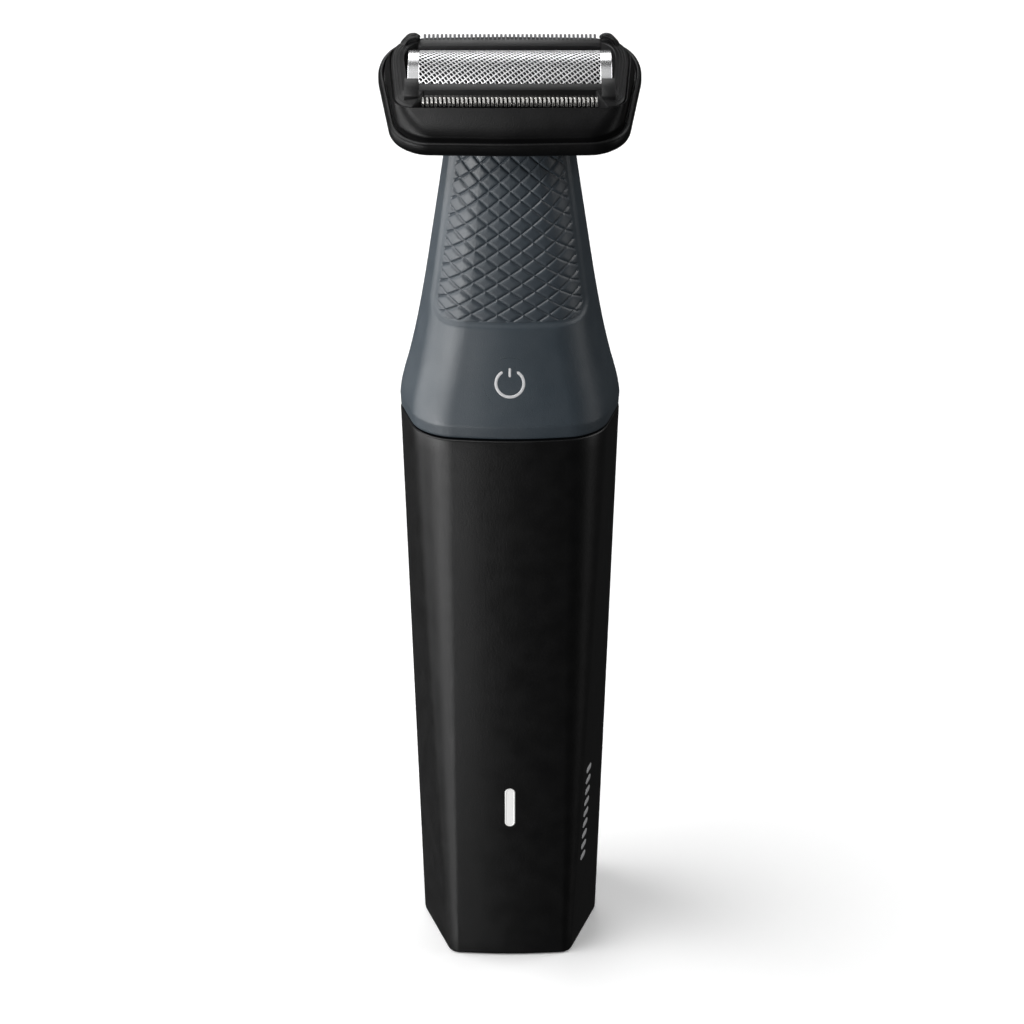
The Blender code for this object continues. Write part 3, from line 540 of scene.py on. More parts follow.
def outline_normals(points):
    """Unit vectors that point into an anticlockwise outline."""
    along = np.roll(points, -1, axis=0) - np.roll(points, 1, axis=0)
    along /= np.linalg.norm(along, axis=1)[:, None]
    return np.stack([-along[:, 1], along[:, 0]], axis=1)


def handle_outline(width, depth, corner_x, corner_y, corner_radius, crown_radius):
    """Six-sided outline with soft side edges and a crowned front and back."""
    corners = []
    for sign in (1, -1):
        corners += [(sign * width, 0.0, SIDE_RADIUS, SIDE_STEPS),
                    (sign * corner_x, sign * corner_y, corner_radius, CORNER_STEPS),
                    (0.0, sign * depth, crown_radius, CROWN_STEPS),
                    (-sign * corner_x, sign * corner_y, corner_radius, CORNER_STEPS)]
    points = rounded_outline(corners)
    return points * (width, depth) / points.max(axis=0)


def blend(low, high, share):
    return [a + (b - a) * share for a, b in zip(low, high)]


def sleeve_outline(z):
    return handle_outline(*blend(BASE_SECTION, SEAM_SECTION, z / SEAM_Z))


def neck_outline(z):
    """The neck's outline: a straight band up to the crease, then a smooth curve."""
    heights, widths, depths = (np.array(column) for column in zip(*NECK_SECTIONS))
    if z < heights[0]:
        share = (z - NECK_Z) / (heights[0] - NECK_Z)
        width, depth = blend(NECK_FOOT, NECK_SECTIONS[0][1:], share)
    else:
        width, depth = smooth_through(heights, widths, z), smooth_through(heights, depths, z)
    share = (z - NECK_Z) / (NECK_TOP_Z - NECK_Z)
    radii = blend(SEAM_SECTION[4:], NECK_TOP_RADII, share)
    return handle_outline(width, depth, NECK_CORNER[0] * width, NECK_CORNER[1] * depth, *radii)


def smooth_through(xs, ys, x):
    """Value at x of a curve through the points that never overshoots them."""
    steps = np.diff(xs)
    slopes = np.diff(ys) / steps
    middle = np.where(slopes[:-1] * slopes[1:] > 0,
                      2 * slopes[:-1] * slopes[1:] / (slopes[:-1] + slopes[1:] - 1e-12), 0.0)
    ends = np.concatenate([[slopes[0]], middle, [slopes[-1]]])
    i = int(np.clip(np.searchsorted(xs, x) - 1, 0, len(steps) - 1))
    t = (x - xs[i]) / steps[i]
    return (ys[i] * (1 + 2 * t) * (1 - t) ** 2 + ends[i] * steps[i] * t * (1 - t) ** 2
            + ys[i + 1] * t * t * (3 - 2 * t) - ends[i + 1] * steps[i] * t * t * (1 - t))


def at_height(points, z):
    """Flat points with a height added."""
    return np.column_stack([points, np.full(len(points), z)])


def ring(outline, z, inset=0.0):
    """Outline moved inwards by inset, as a ring of points at height z."""
    return at_height(outline + outline_normals(outline) * inset, z)


def circle(radius, count):
    """Points of a circle round the middle."""
    angles = [2 * pi * k / count for k in range(count)]
    return [(radius * cos(a), radius * sin(a)) for a in angles]


def mirrored_outline(corners):
    right = list(corners)
    left = [(-x, y, radius, steps) for x, y, radius, steps in reversed(right[1:-1])]
    return rounded_outline(right + left)


def head_outline(across=1.0, deep=1.0):
    return mirrored_outline(HEAD_CORNERS) * (across, deep)


def head_ring(z, across, deep):
    return ring(head_outline(across, deep), z)


def oval_outline(half, radius, steps=12):
    """Outline with straight sides along X and round ends."""
    points = []
    for side, start in ((1, -pi / 2), (-1, pi / 2)):
        for k in range(steps + 1):
            angle = start + pi * k / steps
            points.append((side * half + radius * cos(angle), radius * sin(angle)))
    return points


def pad_depth_in(x, z):
    """Distance of a point inside the grip pad's rounded outline; negative outside it."""
    share = (z - PAD_BOTTOM) / (PAD_TOP - PAD_BOTTOM)
    from_side = PAD_BOTTOM_HALF + (PAD_TOP_HALF - PAD_BOTTOM_HALF) * share - np.abs(x)
    from_end = np.minimum(z - PAD_BOTTOM, PAD_TOP + 4.0 - z)
    over_x, over_z = PAD_CORNER - from_side, PAD_CORNER - from_end
    corner = np.hypot(np.maximum(over_x, 0.0), np.maximum(over_z, 0.0))
    return PAD_CORNER - corner - np.minimum(np.maximum(over_x, over_z), 0.0)


# ---- handle

def make_sleeve():
    """Dark tapered sleeve with rounded ends, and its inside wall."""
    quarter = [pi / 2 * k / 5 for k in range(6)]
    rings = []
    for a in reversed(quarter):
        z = SLEEVE_FOOT_ROUND * (1 - sin(a))
        rings.append(ring(sleeve_outline(z), z, SLEEVE_FOOT_ROUND * (1 - cos(a))))
    for z in np.linspace(4.0, SEAM_Z - 3.0, 28):
        rings.append(ring(sleeve_outline(z), z))
    for a in quarter:
        z = SEAM_Z - SLEEVE_TOP_ROUND * (1 - sin(a))
        rings.append(ring(sleeve_outline(z), z, SLEEVE_TOP_ROUND * (1 - cos(a))))
    for z in (SEAM_Z, 60.0, 0.0):
        rings.append(ring(sleeve_outline(z), z, SLEEVE_WALL))
    sleeve = loft("sleeve_skin", rings, wrapped=True)
    window = [(-y, LENS_Z + x) for x, y in oval_outline(LENS_HALF_HEIGHT - LENS_RADIUS,
                                                       LENS_RADIUS + 0.03)]
    cut(sleeve, slab("lens_hole", window, 10.0, 20.0, UPRIGHT))
    finish_piece(sleeve, "black_plastic", "handle", "handle_sleeve")


def make_lens():
    """White light window with a rounded edge and a bar behind it."""
    front = -node_box("indicator_lens")[0].y
    rings = []
    for inset, lift in LENS_RINGS:
        outline = oval_outline(LENS_HALF_HEIGHT - LENS_RADIUS, LENS_RADIUS - inset)
        height = LENS_BACK if lift is None else front + lift
        rings.append([(-y, LENS_Z + x, height) for x, y in outline])
    lens = loft("indicator_window", rings, UPRIGHT, capped=True)
    finish_piece(lens, "lens", "handle", "indicator_lens")


def make_side_marks():
    """Plain grey dashes up the right-hand angled face."""
    dashes = []
    pitch = (SIDE_MARK_TO - SIDE_MARK_FROM) / SIDE_MARK_COUNT
    for i in range(SIDE_MARK_COUNT):
        centre = SIDE_MARK_FROM + pitch * (i + 0.5)
        rings = []
        for lift, shrink in ((-0.2, 0.0), (0.02, 0.0), (0.035, 0.04)):
            outline = oval_outline(SIDE_MARK_HALF, SIDE_MARK_RADIUS - shrink, 8)
            rings.append([side_point(x, centre + y, lift) for x, y in outline])
        dashes.append(loft("dash", rings, capped=True))
    marks = join("side_marks", dashes)
    face_outwards(marks)
    finish_piece(marks, "side_mark", "handle", slot="inner_plastic")


def side_point(across, z, lift):
    """Point of the right-hand angled face in front, across its width from the middle line."""
    outline = sleeve_outline(z)
    start, end = outline[-1], outline[0]
    along = (end - start) / np.linalg.norm(end - start)
    middle = start + along * SIDE_MARK_PLACE
    out = np.array([along[1], -along[0]])
    x, y = middle + along * across + out * lift
    return (x, y, z)


def half_outline(z, side):
    """Front (-1) or rear (1) half of the neck's outline, from +X to -X or back again."""
    points = neck_outline(z)
    middle = SIDE_STEPS // 2
    half = len(points) // 2
    turned = np.roll(points, -middle, axis=0)
    return turned[:half + 1] if side > 0 else np.vstack([turned[half:], turned[:1]])


def directions(points):
    """Unit vectors along an open line."""
    along = np.gradient(points, axis=0)
    return along / np.linalg.norm(along, axis=1)[:, None]


def line_normals(points):
    along = directions(points)
    return np.stack([-along[:, 1], along[:, 0]], axis=1)


def evenly(points, count):
    """As many points as asked for, at equal steps along an open line."""
    gaps = np.linalg.norm(np.diff(points, axis=0), axis=1)
    travelled = np.concatenate([[0.0], np.cumsum(gaps)])
    places = np.linspace(0.0, travelled[-1], count)
    return np.column_stack([np.interp(places, travelled, points[:, i]) for i in range(2)])


def make_neck_cover(side, name):
    """Half of the slate neck, with the soft recess for its grip."""
    count = int((NECK_TOP_Z - NECK_Z) / RING_STEP)
    lift = [NECK_FOOT_ROUND * (1 - cos(pi / 2 * k / 4)) for k in range(5)]
    heights = [NECK_Z + value for value in lift]
    heights += list(np.linspace(NECK_Z + 0.7, NECK_TOP_Z, count))
    rows = []
    for z in heights:
        points = evenly(half_outline(z, side), COVER_SAMPLES)
        normals = line_normals(points)
        inside = pad_depth_in(points[:, 0], z)
        depth = RECESS * smoothstep(inside / RECESS_RUN)
        pocket = smoothstep((inside - GRIP_EDGE - POCKET_CLEAR) / POCKET_RUN)
        depth += (POCKET_DEPTH - RECESS) * pocket
        foot = NECK_FOOT_ROUND - (z - NECK_Z)
        if foot > 0:
            depth += NECK_FOOT_ROUND - sqrt(max(NECK_FOOT_ROUND ** 2 - foot ** 2, 0.0))
        points = points + normals * depth[:, None]
        rows.append(at_height(points, z))
    inner = []
    for z in (NECK_TOP_Z, *INNER_HEIGHTS, NECK_Z):
        points = evenly(half_outline(z, side), COVER_SAMPLES)
        inner.append(at_height(points + line_normals(points) * NECK_WALL, z))
    rows = np.array(rows + inner + rows[:1])
    faces = grid_faces(len(rows), COVER_SAMPLES)
    for edge, flip in ((0, False), (COVER_SAMPLES - 1, True)):
        loop = [i * COVER_SAMPLES + edge for i in range(len(rows) - 1)]
        faces.append(tuple(loop if flip else reversed(loop)))
    cover = mesh_from(name, rows, faces)
    weld(cover)
    face_outwards(cover)
    return cover


def neck_surface(x, z, side=-1):
    """Depth of the neck's plain surface at points across it, and its inward normals."""
    points = half_outline(z, side)
    if side > 0:
        points = points[::-1]
    normals = line_normals(points) * (1 if side < 0 else -1)
    return (np.interp(x, points[:, 0], points[:, 1]),
            np.column_stack([np.interp(x, points[:, 0], normals[:, i]) for i in range(2)]))


def button_frame():
    """Matrix of the button: its Z points out of the neck's front."""
    tilt = Matrix.Rotation(pi / 2 - BUTTON_LEAN, 4, "X")
    return Matrix.Translation((0.0, BUTTON_Y, BUTTON_Z)) @ tilt


def make_neck():
    for side, name in SIDES:
        cover = make_neck_cover(side, "neck_%s_skin" % name)
        if side < 0:
            hole = circle(BUTTON_RADIUS, BUTTON_SIDES)
            cut(cover, slab("button_hole", hole, -BUTTON_HOLE, BUTTON_HOLE, button_frame()))
        finish_piece(cover, "slate_plastic", "handle", "neck_%s_cover" % name)


def groove(distance):
    """Depth share of a groove, from the distance to its middle line in pitch units."""
    return np.clip(1.0 - distance / GROOVE_HALF, 0.0, 1.0) ** 0.9


def make_grip(side, name):
    """Rubber pad with its field of moulded diamonds."""
    heights = np.linspace(PAD_BOTTOM + GRIP_MARGIN, PAD_TOP, GRIP_ROWS)
    across = np.linspace(-1.0, 1.0, GRIP_COLUMNS)
    rows = []
    for z in heights:
        share = (z - PAD_BOTTOM) / (PAD_TOP - PAD_BOTTOM)
        half = PAD_BOTTOM_HALF + (PAD_TOP_HALF - PAD_BOTTOM_HALF) * share
        x = across * (half - GRIP_MARGIN)
        y, normals = neck_surface(x, z, side)
        inside = pad_depth_in(x, z)
        sideways = GROOVES_ACROSS * x / (half + GROOVES_PAST)
        below = GROOVE_TOP - z
        down = below / GROOVE_RISE * (1 + GROOVE_STRETCH * below)
        rising = np.abs((sideways + down) % 1.0 - 0.5)
        falling = np.abs((sideways - down) % 1.0 - 0.5)
        near = np.minimum(rising, falling)
        crown = smoothstep((near - GROOVE_HALF * 0.6) / PILLOW_RUN)
        field = smoothstep((inside - FIELD_EDGE) / FIELD_RUN)
        depth = RECESS - PAD_PROUD + field * (GROOVE_DEPTH * groove(near) - PILLOW * crown)
        rim_share = smoothstep((inside - GRIP_EDGE + GRIP_EDGE_RUN) / GRIP_EDGE_RUN)
        depth += (POCKET_DEPTH - RECESS) * (1 - rim_share)
        points = np.column_stack([x, y]) + normals * depth[:, None]
        rows.append(at_height(points, z))
    rows = np.array(rows)
    faces = grid_faces(GRIP_ROWS, GRIP_COLUMNS)
    rim = list(range(GRIP_COLUMNS))
    rim += [i * GRIP_COLUMNS + GRIP_COLUMNS - 1 for i in range(1, GRIP_ROWS)]
    rim += [(GRIP_ROWS - 1) * GRIP_COLUMNS + j for j in reversed(range(GRIP_COLUMNS - 1))]
    rim += [i * GRIP_COLUMNS for i in reversed(range(1, GRIP_ROWS - 1))]
    points = rows.reshape(-1, 3)
    back = points[rim].copy()
    back[:, 1] -= side * 0.25
    start = len(points)
    points = np.vstack([points, back, back.mean(axis=0)[None, :] + (0.0, side * 1.0, 0.0)])
    centre = len(points) - 1
    for i in range(len(rim)):
        j = (i + 1) % len(rim)
        faces.append((rim[j], rim[i], start + i, start + j))
        faces.append((start + j, start + i, centre))
    pad = mesh_from("%s_grip" % name, points, faces)
    face_outwards(pad)
    finish_piece(pad, "grip_rubber", "handle", "%s_grip_pad" % name)


def on_button(a, b, lift):
    """Point above the button's face, from its place across and up the face."""
    z = BUTTON_Z + b * cos(BUTTON_LEAN)
    y, _ = neck_surface(np.array([a]), z)
    out = Vector((0.0, -cos(BUTTON_LEAN), sin(BUTTON_LEAN)))
    return tuple(Vector((a, float(y[0]), z)) + out * lift)


def make_button():
    """Round button that lies flush with the neck."""
    profile = [(r, 0.0) for r in np.linspace(0.4, BUTTON_RADIUS, 12)]
    profile += [(BUTTON_RADIUS, -0.03), (BUTTON_RADIUS, -BUTTON_THICK), (2.0, -BUTTON_THICK)]
    rings = [[on_button(a, b, lift) for a, b in circle(radius, BUTTON_SIDES)]
             for radius, lift in profile]
    button = solid("button_skin", rings)
    finish_piece(button, "slate_plastic", "button", "power_button")


def ribbon(path, width):
    """Left and right edges of a band with round ends along a flat path."""
    path = np.asarray(path, float)
    travelled = np.concatenate([[0.0], np.cumsum(np.linalg.norm(np.diff(path, axis=0), axis=1))])
    from_end = np.minimum(travelled, travelled[-1] - travelled)
    radius = width / 2
    share = np.clip(1 - from_end / radius, 0.0, 1.0)
    half = radius * np.sqrt(np.clip(1 - share ** 2, 0.02, 1.0))
    side = line_normals(path) * half[:, None]
    return path + side, path - side


def make_power_mark():
    """Ring with a gap at the top and an upright bar: the plain sign for on and off."""
    angles = np.linspace(pi / 2 + MARK_GAP, pi / 2 + 2 * pi - MARK_GAP, 90)
    arc = [(MARK_RADIUS * cos(a), MARK_RADIUS * sin(a)) for a in angles]
    bar = [(0.0, b) for b in np.linspace(MARK_BAR_LOW, MARK_BAR_HIGH, 24)]
    parts = []
    for path, width in ((arc, MARK_STROKE), (bar, MARK_BAR_STROKE)):
        outer, inner = ribbon(path, width), ribbon(path, width * 0.86)
        lines = [(outer[0], -0.1), (outer[0], 0.012), (inner[0], 0.03),
                 (inner[1], 0.03), (outer[1], 0.012), (outer[1], -0.1)]
        rows = [[on_button(*line[i], lift) for line, lift in lines] for i in range(len(path))]
        parts.append(loft("stroke", rows, capped=True))
    mark = join("power_mark", parts)
    face_outwards(mark)
    finish_piece(mark, "mark_grey", "button", slot="inner_plastic")


# ---- head

def smooth_rings(rings, steps):
    """More rings between the given ones, on a smooth curve through each line of points."""
    rings = np.asarray(rings, float)
    padded = np.concatenate([2 * rings[:1] - rings[1:2], rings, 2 * rings[-1:] - rings[-2:-1]])
    out = []
    for i in range(1, len(padded) - 2):
        a, b, c, d = padded[i - 1:i + 3]
        for k in range(steps):
            t = k / steps
            out.append(0.5 * (2 * b + (c - a) * t + (2 * a - 5 * b + 4 * c - d) * t ** 2
                              + (3 * b - a - 3 * c + d) * t ** 3))
    out.append(rings[-1])
    return out


def to_head(points):
    """Points of the upright frame, in the head's leaning frame."""
    back = HEAD_PLACE.inverted()
    return np.array([tuple(back @ Vector(point)) for point in points])


def resample(points, reference):
    """Points of an outline at the angles where the reference outline has its points."""
    angles = np.unwrap(np.arctan2(points[:, 1], points[:, 0]))
    order = np.argsort(angles)
    base, radii = angles[order], np.linalg.norm(points, axis=1)[order]
    wanted = np.arctan2(reference[:, 1], reference[:, 0])
    wanted = base[0] + (wanted - base[0]) % (2 * pi)
    base = np.concatenate([base, [base[0] + 2 * pi]])
    radii = np.concatenate([radii, radii[:1]])
    found = np.interp(wanted, base, radii)
    return np.column_stack([found * np.cos(wanted), found * np.sin(wanted)])


def make_spigot():
    """Round post that carries the head, with the plate it stands on and a catch groove."""
    bottom, top = SPIGOT_PLATE
    plate = neck_outline(top)
    plate = plate + outline_normals(plate) * (NECK_WALL + SEAL_GAP)
    post = resample(np.array(oval_outline(SPIGOT_HALF, SPIGOT_RADIUS, 24)), plate)
    bore = post / np.linalg.norm(post, axis=1)[:, None] * SPIGOT_BORE
    rings = [ring(plate, bottom), ring(plate, top)]
    rings += [ring(post, z, inset) for z, inset in SPIGOT_RINGS]
    rings += [ring(bore, z, inset) for z, inset in (*BORE_TOP_RINGS, (bottom, 0.0))]
    spigot = loft("spigot_skin", rings, wrapped=True)
    face_outwards(spigot)
    finish_piece(spigot, "head_plastic", "handle", "head_mount")


def make_head_base():
    """Rim and rounded underside of the head."""
    outline = head_outline()
    neck_top = neck_outline(NECK_TOP_Z) * UNDERSIDE_FOOT
    flat = resample(neck_top, outline)
    foot, knee = (to_head(at_height(flat, NECK_TOP_Z + rise)) for rise in UNDERSIDE_RISES)
    edge = head_ring(*RIM_RINGS[0])
    belly = (knee + edge) / 2
    belly[:, 2] = belly[:, 2] - BELLY * (0.5 + knee[:, 1] / 32)
    outer = smooth_rings([foot, knee, belly, edge], 8)[:-1]
    rim = [head_ring(*values) for values in RIM_RINGS]
    inner = [head_ring(*values) for values in RIM_INSIDE]
    lower = foot.copy()
    lower[:, :2] *= 0.86
    inner.append(lower)
    base = loft("head_rim_skin", outer + rim + inner, HEAD_PLACE, wrapped=True)
    finish_piece(base, "head_plastic", "head", "head_base", sharp=50.0)


def make_head_shell():
    """Sloping shell round the cassette."""
    foot, lip = head_outline(*SHELL_FOOT), mirrored_outline(OPENING_CORNERS)
    rings = []
    for z, share, inset in SHELL_RINGS:
        points = ring(foot + (lip - foot) * share, z, inset)
        behind = (points[:, 1] - REAR_DROP_START) / REAR_DROP_RUN
        points[:, 2] -= REAR_DROP * share * smoothstep(behind)
        rings.append(points)
    shell = loft("head_shell_skin", rings, HEAD_PLACE, wrapped=True)
    finish_piece(shell, "head_plastic", "head", "head_shell", sharp=50.0)


def make_hump(side):
    """Rounded rear post of the foil's frame, with a chamfer towards the foil."""
    corners = [(x * side, z, radius, steps) for x, z, radius, steps in HUMP]
    outline = rounded_outline(corners if side < 0 else corners[::-1])
    inwards = outline_normals(outline)
    rings = [[(x, z, -y) for x, z in outline + inwards * inset] for y, inset in HUMP_DEPTHS]
    return solid("hump", rings, HEAD_PLACE @ UPRIGHT)


def make_hump_arch(side):
    """Raised edge on the front of a rear post, with a round end next to the foil."""
    path = np.array([(x * side, y, z) for x, y, z in HUMP_ARCH])
    depth = np.array((0.0, 1.0, 0.0))
    angles = np.linspace(0.0, 2 * pi, ROUND_STEPS, endpoint=False)
    tube, ball = [], []
    for point, direction in zip(path, directions(path)):
        across = np.cross(direction, depth)
        tube.append([point + ARCH_RADIUS * (across * cos(a) + depth * sin(a)) for a in angles])
    for share in np.linspace(-0.94, 0.94, 9):
        radius = ARCH_END_RADIUS * (1.0 - share ** 2) ** 0.5
        ball.append([path[-1] + (radius * cos(a), radius * sin(a), share * ARCH_END_RADIUS)
                     for a in angles])
    return [solid("arch", tube, HEAD_PLACE), solid("arch_end", ball, HEAD_PLACE)]


def make_front_post(side):
    """Front post: a flat top and a face that slopes down towards the front trimmer."""
    low, high = sorted((side * POST_INNER, side * POST_OUTER))
    rings = [[(x, y, z) for y, z in FRONT_POST] for x in (low, high)]
    return solid("post", rings, HEAD_PLACE)


def make_side_wall(side):
    """Ridged end wall that follows the shell's opening from the front round to the rear."""
    opening = mirrored_outline(OPENING_CORNERS)
    opening = opening[np.argsort(np.arctan2(opening[:, 1], opening[:, 0] * side) * side)]
    opening = opening[opening[:, 0] * side > WINDOW_HALF + 0.1]
    top_outline = opening * CASSETTE_TOP
    columns = [at_height(opening + (top_outline - opening) * share, z)
               for z, share in CASSETTE_RINGS]
    return solid("wall", np.stack(columns, axis=1), HEAD_PLACE)


def make_cassette():
    """Black frame of the foil: ridged end walls, front and rear bars, humped rear posts."""
    parts = []
    for side in (-1, 1):
        parts += [make_side_wall(side), make_hump(side), make_front_post(side)]
        parts += make_hump_arch(side)
    half = WINDOW_HALF + 0.2
    for inner, outer, far in BARS:
        parts.append(block("bar", (-half, inner, BAR_BOTTOM), (half, outer, BAR_TOP), HEAD_PLACE))
        parts.append(block("ledge", (-half, inner, LEDGE_BOTTOM), (half, far, LEDGE_TOP),
                           HEAD_PLACE))
    cassette = join("cassette_skin", parts)
    bevel(cassette, 0.10, 2, 38.0)
    settle(cassette)
    finish_piece(cassette, "cassette_plastic", "head", "foil_frame", slot="head_plastic")


def on_foil(x, around, lift=0.0):
    """Point of the foil's arch, from its place along and round it."""
    angle = around / FOIL_RADIUS
    radius = FOIL_RADIUS + lift
    return (x, radius * sin(angle), FOIL_CROWN - FOIL_RADIUS + radius * cos(angle))


def make_foil():
    """Perforated arch: a field of lozenge cells, each with an oval hole."""
    half_arc = FOIL_RADIUS * FOIL_SWEEP
    first, second = (np.array(step) for step in MESH_STEPS)
    points, faces = [], []
    reach = int(2 * MESH_HALF / first[0]) + 20
    sides = 8
    for i in range(-reach, reach + 1):
        for j in range(-reach, reach + 1):
            centre = first * i + second * j
            if abs(centre[0]) > MESH_HALF or abs(centre[1]) > half_arc:
                continue
            corners = [centre + (first * a + second * b) / 2
                       for a, b in ((1, 1), (0, 1), (-1, 1), (-1, 0), (-1, -1), (0, -1), (1, -1),
                                    (1, 0))]
            share = HOLE_SHARE * (sides // 2)
            hole = [centre + (corner - centre) * share[k] for k, corner in enumerate(corners)]
            start = len(points)
            points += [on_foil(x, clamp(s, half_arc + 0.3)) for x, s in corners]
            points += [on_foil(x, clamp(s, half_arc + 0.25), -0.02) for x, s in hole]
            for k in range(sides):
                m = (k + 1) % sides
                faces.append((start + m, start + k, start + sides + k, start + sides + m))
    foil = mesh_from("foil_mesh", points, faces, HEAD_PLACE)
    weld(foil, 0.01)
    modifier = foil.modifiers.new("thickness", "SOLIDIFY")
    modifier.thickness = MESH_THICK * MM
    modifier.offset = -1.0
    settle(foil)
    face_outwards(foil)
    finish_piece(foil, "foil_steel", "head", "shaving_foil", sharp=60.0)


def clamp(value, limit):
    return max(-limit, min(limit, value))


def make_foil_ends():
    """Plain bright strips at both ends of the foil."""
    half_arc = FOIL_RADIUS * FOIL_SWEEP
    parts = []
    for side in (-1, 1):
        rows = []
        for k in range(33):
            around = half_arc * (2 * k / 32 - 1)
            rows.append([on_foil(side * x, around, lift) for x, lift in FOIL_STRIP])
        parts.append(loft("strip", rows, HEAD_PLACE, capped=True))
    strips = join("foil_end_strips", parts)
    face_outwards(strips)
    finish_piece(strips, "strip_steel", "head", slot="foil_steel", sharp=15.0)


def swept_tooth(x, path, width, thick):
    """Bent bar with chamfered edges along a path of (depth, height) points."""
    path = np.asarray(path, float)
    flip = 1.0 if path[-1][0] > path[0][0] else -1.0
    rings = []
    for point, normal in zip(path, line_normals(path)):
        rings.append([(x + a * width, *(point + normal * flip * (b - 1.0) * thick))
                      for a, b in TOOTH_SECTION])
    return rings


def toothed_comb(name, side, path, half, tooth):
    """Slim plate with a row of teeth that follow a path of (depth, height) points."""
    path = [(y * side, z) for y, z in path]
    width, thick = tooth
    count = int(2 * half / TOOTH_PITCH)
    parts = []
    for i in range(count):
        x = (i - (count - 1) / 2) * TOOTH_PITCH
        parts.append(loft("tooth", swept_tooth(x, path, width, thick), HEAD_PLACE, capped=True))
    top = path[0][1] - PLATE_DROP
    parts.append(block("plate", (-half, path[0][0], top - thick), (half, path[1][0], top),
                       HEAD_PLACE))
    comb = join(name, parts)
    face_outwards(comb)
    return comb


def make_trimmer(side, name):
    """Fixed comb of a trimmer and the blade that runs under it."""
    guard = toothed_comb("%s_guard_comb" % name, side, GUARD_PATHS[name], GUARD_HALF, GUARD_TOOTH)
    finish_piece(guard, GUARD_LOOKS[name], "head", "%s_trimmer_guard" % name, slot="steel")
    blade = toothed_comb("%s_blade_comb" % name, side, BLADE_PATHS[name], BLADE_HALF, BLADE_TOOTH)
    # the blade gets the darkened steel: painted shade under its guard
    finish_piece(blade, "shade_painted_steel", "cutter", "%s_trimmer_blade" % name, slot="steel")


def make_cutter_block():
    """Row of thin arched blades under the foil."""
    radius, half = LAMELLA_RADIUS, LAMELLA_ROW_HALF
    parts = []
    arc = [(radius * sin(a), FOIL_CROWN - FOIL_RADIUS + radius * cos(a))
           for a in np.linspace(LAMELLA_SWEEP, -LAMELLA_SWEEP, 15)]
    outline = [*LAMELLA_FOOT, *arc]
    side_on = Matrix(((0, 0, 1, 0), (1, 0, 0, 0), (0, 1, 0, 0), (0, 0, 0, 1)))
    for i in range(LAMELLAE):
        x = (2 * i / (LAMELLAE - 1) - 1) * half
        parts.append(slab("lamella", outline, x - LAMELLA_HALF, x + LAMELLA_HALF,
                          HEAD_PLACE @ side_on))
    parts.append(block("spine", (-half, *SPINE[0]), (half, *SPINE[1]), HEAD_PLACE))
    lamellae = join("cutter_lamellae", parts)
    face_outwards(lamellae)
    # the blades get the darkened steel: painted shade inside the head, seen through the foil
    finish_piece(lamellae, "shade_painted_steel", "cutter", "cutter_block", slot="steel")


# ---- carried CAD nodes

CAD_LOOKS = {
    "black_plastic": ("bottom_cap", "socket_housing", "motor_end_cap", "tact_switch"),
    "inner_plastic": ("inner_frame", "motor_bracket", "eccentric_cam", "cutter_carrier",
                      "drive_yoke"),
    "seal_rubber": ("neck_seal", "drive_seal"),
    "head_plastic": ("head_socket",),
    "cell_wrap": ("battery_cell",),
    "steel": ("battery_tab_top", "battery_tab_bottom", "board_screw_lower", "board_screw_upper",
              "motor_can", "motor_screw_left", "motor_screw_right", "motor_shaft", "drive_pin",
              "cutter_spring_left", "cutter_spring_right"),
    "brass": ("socket_pin_left", "socket_pin_right", "motor_bush"),
    "board": ("circuit_board",),
    "lens": ("status_led",),
}
BEVELLED = {"bottom_cap": 0.25, "socket_housing": 0.3, "inner_frame": 0.3, "motor_bracket": 0.2,
            "cutter_carrier": 0.15, "drive_yoke": 0.2, "tact_switch": 0.2}


def dress_cad_nodes():
    for look, names in CAD_LOOKS.items():
        for name in names:
            node = nodes[name]
            node.data.materials.clear()
            node.data.materials.append(MATERIALS[look])
            if name in BEVELLED:
                bevel(node, BEVELLED[name], 3, 50.0)


# ---- stage

def make_stage():
    """Plain white floor, which lights nothing: the table cards stand in for its bounce."""
    half = FLOOR_HALF
    floor = mesh_from("floor", ((-half, -half, 0.0), (half, -half, 0.0), (half, half, 0.0),
                                (-half, half, 0.0)), [(0, 1, 2, 3)])
    paper = material("floor_white", (FLOOR_WHITE, FLOOR_WHITE, FLOOR_WHITE), 0.9, specular=0.1)
    glow(paper, (1.0, 1.0, 1.0), FLOOR_GLOW)
    vary_roughness(paper, 0.03, 20.0)
    floor.data.materials.append(paper)
    floor.visible_diffuse = False
    floor.visible_glossy = False


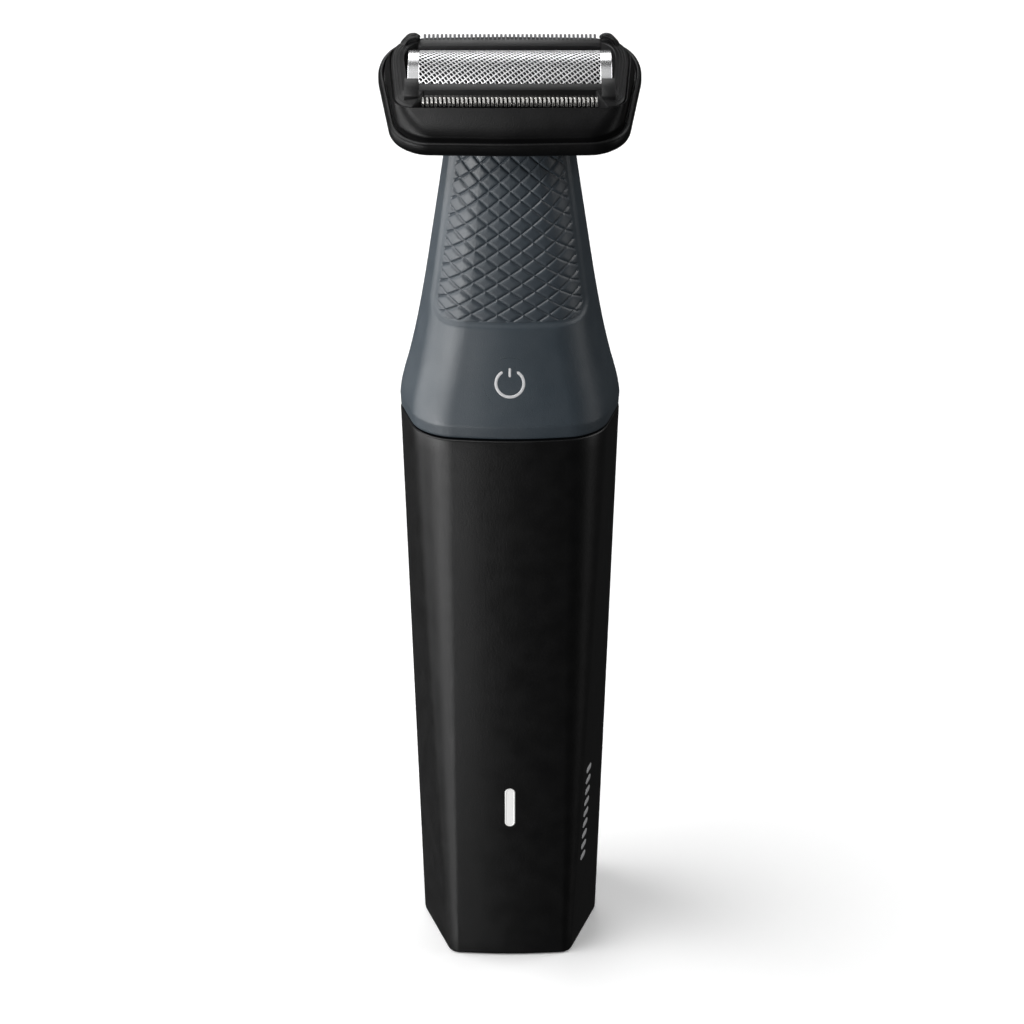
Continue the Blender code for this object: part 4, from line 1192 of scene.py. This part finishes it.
def sun_light(name, azimuth, elevation, spread_angle, strength, shadow=True):
    """Distant soft light; azimuth 0 shines from the front and 90 from the right."""
    data = bpy.data.lights.new(name, "SUN")
    data.energy = strength
    data.angle = radians(spread_angle)
    data.use_shadow = shadow
    light = new_object(name, data)
    a, e = radians(azimuth), radians(elevation)
    towards = Vector((sin(a) * cos(e), -cos(a) * cos(e), sin(e)))
    light.rotation_euler = towards.to_track_quat("Z", "Y").to_euler()


def head_light():
    """Small soft box on the left of the head, above it and in front of it."""
    data = bpy.data.lights.new("head_box", "AREA")
    data.size = HEAD_LIGHT_SIZE * MM
    data.energy = HEAD_LIGHT_POWER
    light = new_object("head_box", data)
    light.location = Vector(HEAD_LIGHT_PLACE) * MM
    towards = Vector(HEAD_LIGHT_PLACE) - Vector(HEAD_LIGHT_AIM)
    light.rotation_euler = towards.to_track_quat("Z", "Y").to_euler()
    light.visible_camera = False


def make_lights():
    """Soft boxes round the object, and white cards that throw light up from the table."""
    head_light()
    for name, *values in SOFT_BOXES:
        sun_light(name, *values)
    for name, *values in TABLE_CARDS:
        sun_light(name, *values, shadow=False)
    world = bpy.data.worlds.new("studio")
    world.use_nodes = True
    background = world.node_tree.nodes["Background"]
    fill(background.inputs, Color=(1.0, 1.0, 1.0, 1.0), Strength=WORLD_STRENGTH)
    scene.world = world


def make_camera():
    data = bpy.data.cameras.new("camera")
    data.lens = CAMERA_LENS
    data.sensor_width = CAMERA_SENSOR
    data.clip_start, data.clip_end = 0.01, 100.0
    camera = new_object("camera", data)
    target = Vector(CAMERA_TARGET)
    back = Vector((0.0, -cos(CAMERA_PITCH), sin(CAMERA_PITCH)))
    camera.location = (target + back * CAMERA_DISTANCE) * MM
    camera.rotation_euler = (-back).to_track_quat("-Z", "Y").to_euler()
    scene.camera = camera
    scene.view_settings.view_transform = "Standard"
    scene.view_settings.look = "None"


def main():
    make_sleeve()
    make_lens()
    make_side_marks()
    make_neck()
    for side, name in SIDES:
        make_grip(side, name)
    make_button()
    make_power_mark()
    make_spigot()
    make_head_base()
    make_head_shell()
    make_cassette()
    make_foil()
    make_foil_ends()
    for side, name in SIDES:
        make_trimmer(side, name)
    make_cutter_block()
    dress_cad_nodes()
    make_stage()
    make_lights()
    make_camera()


main()
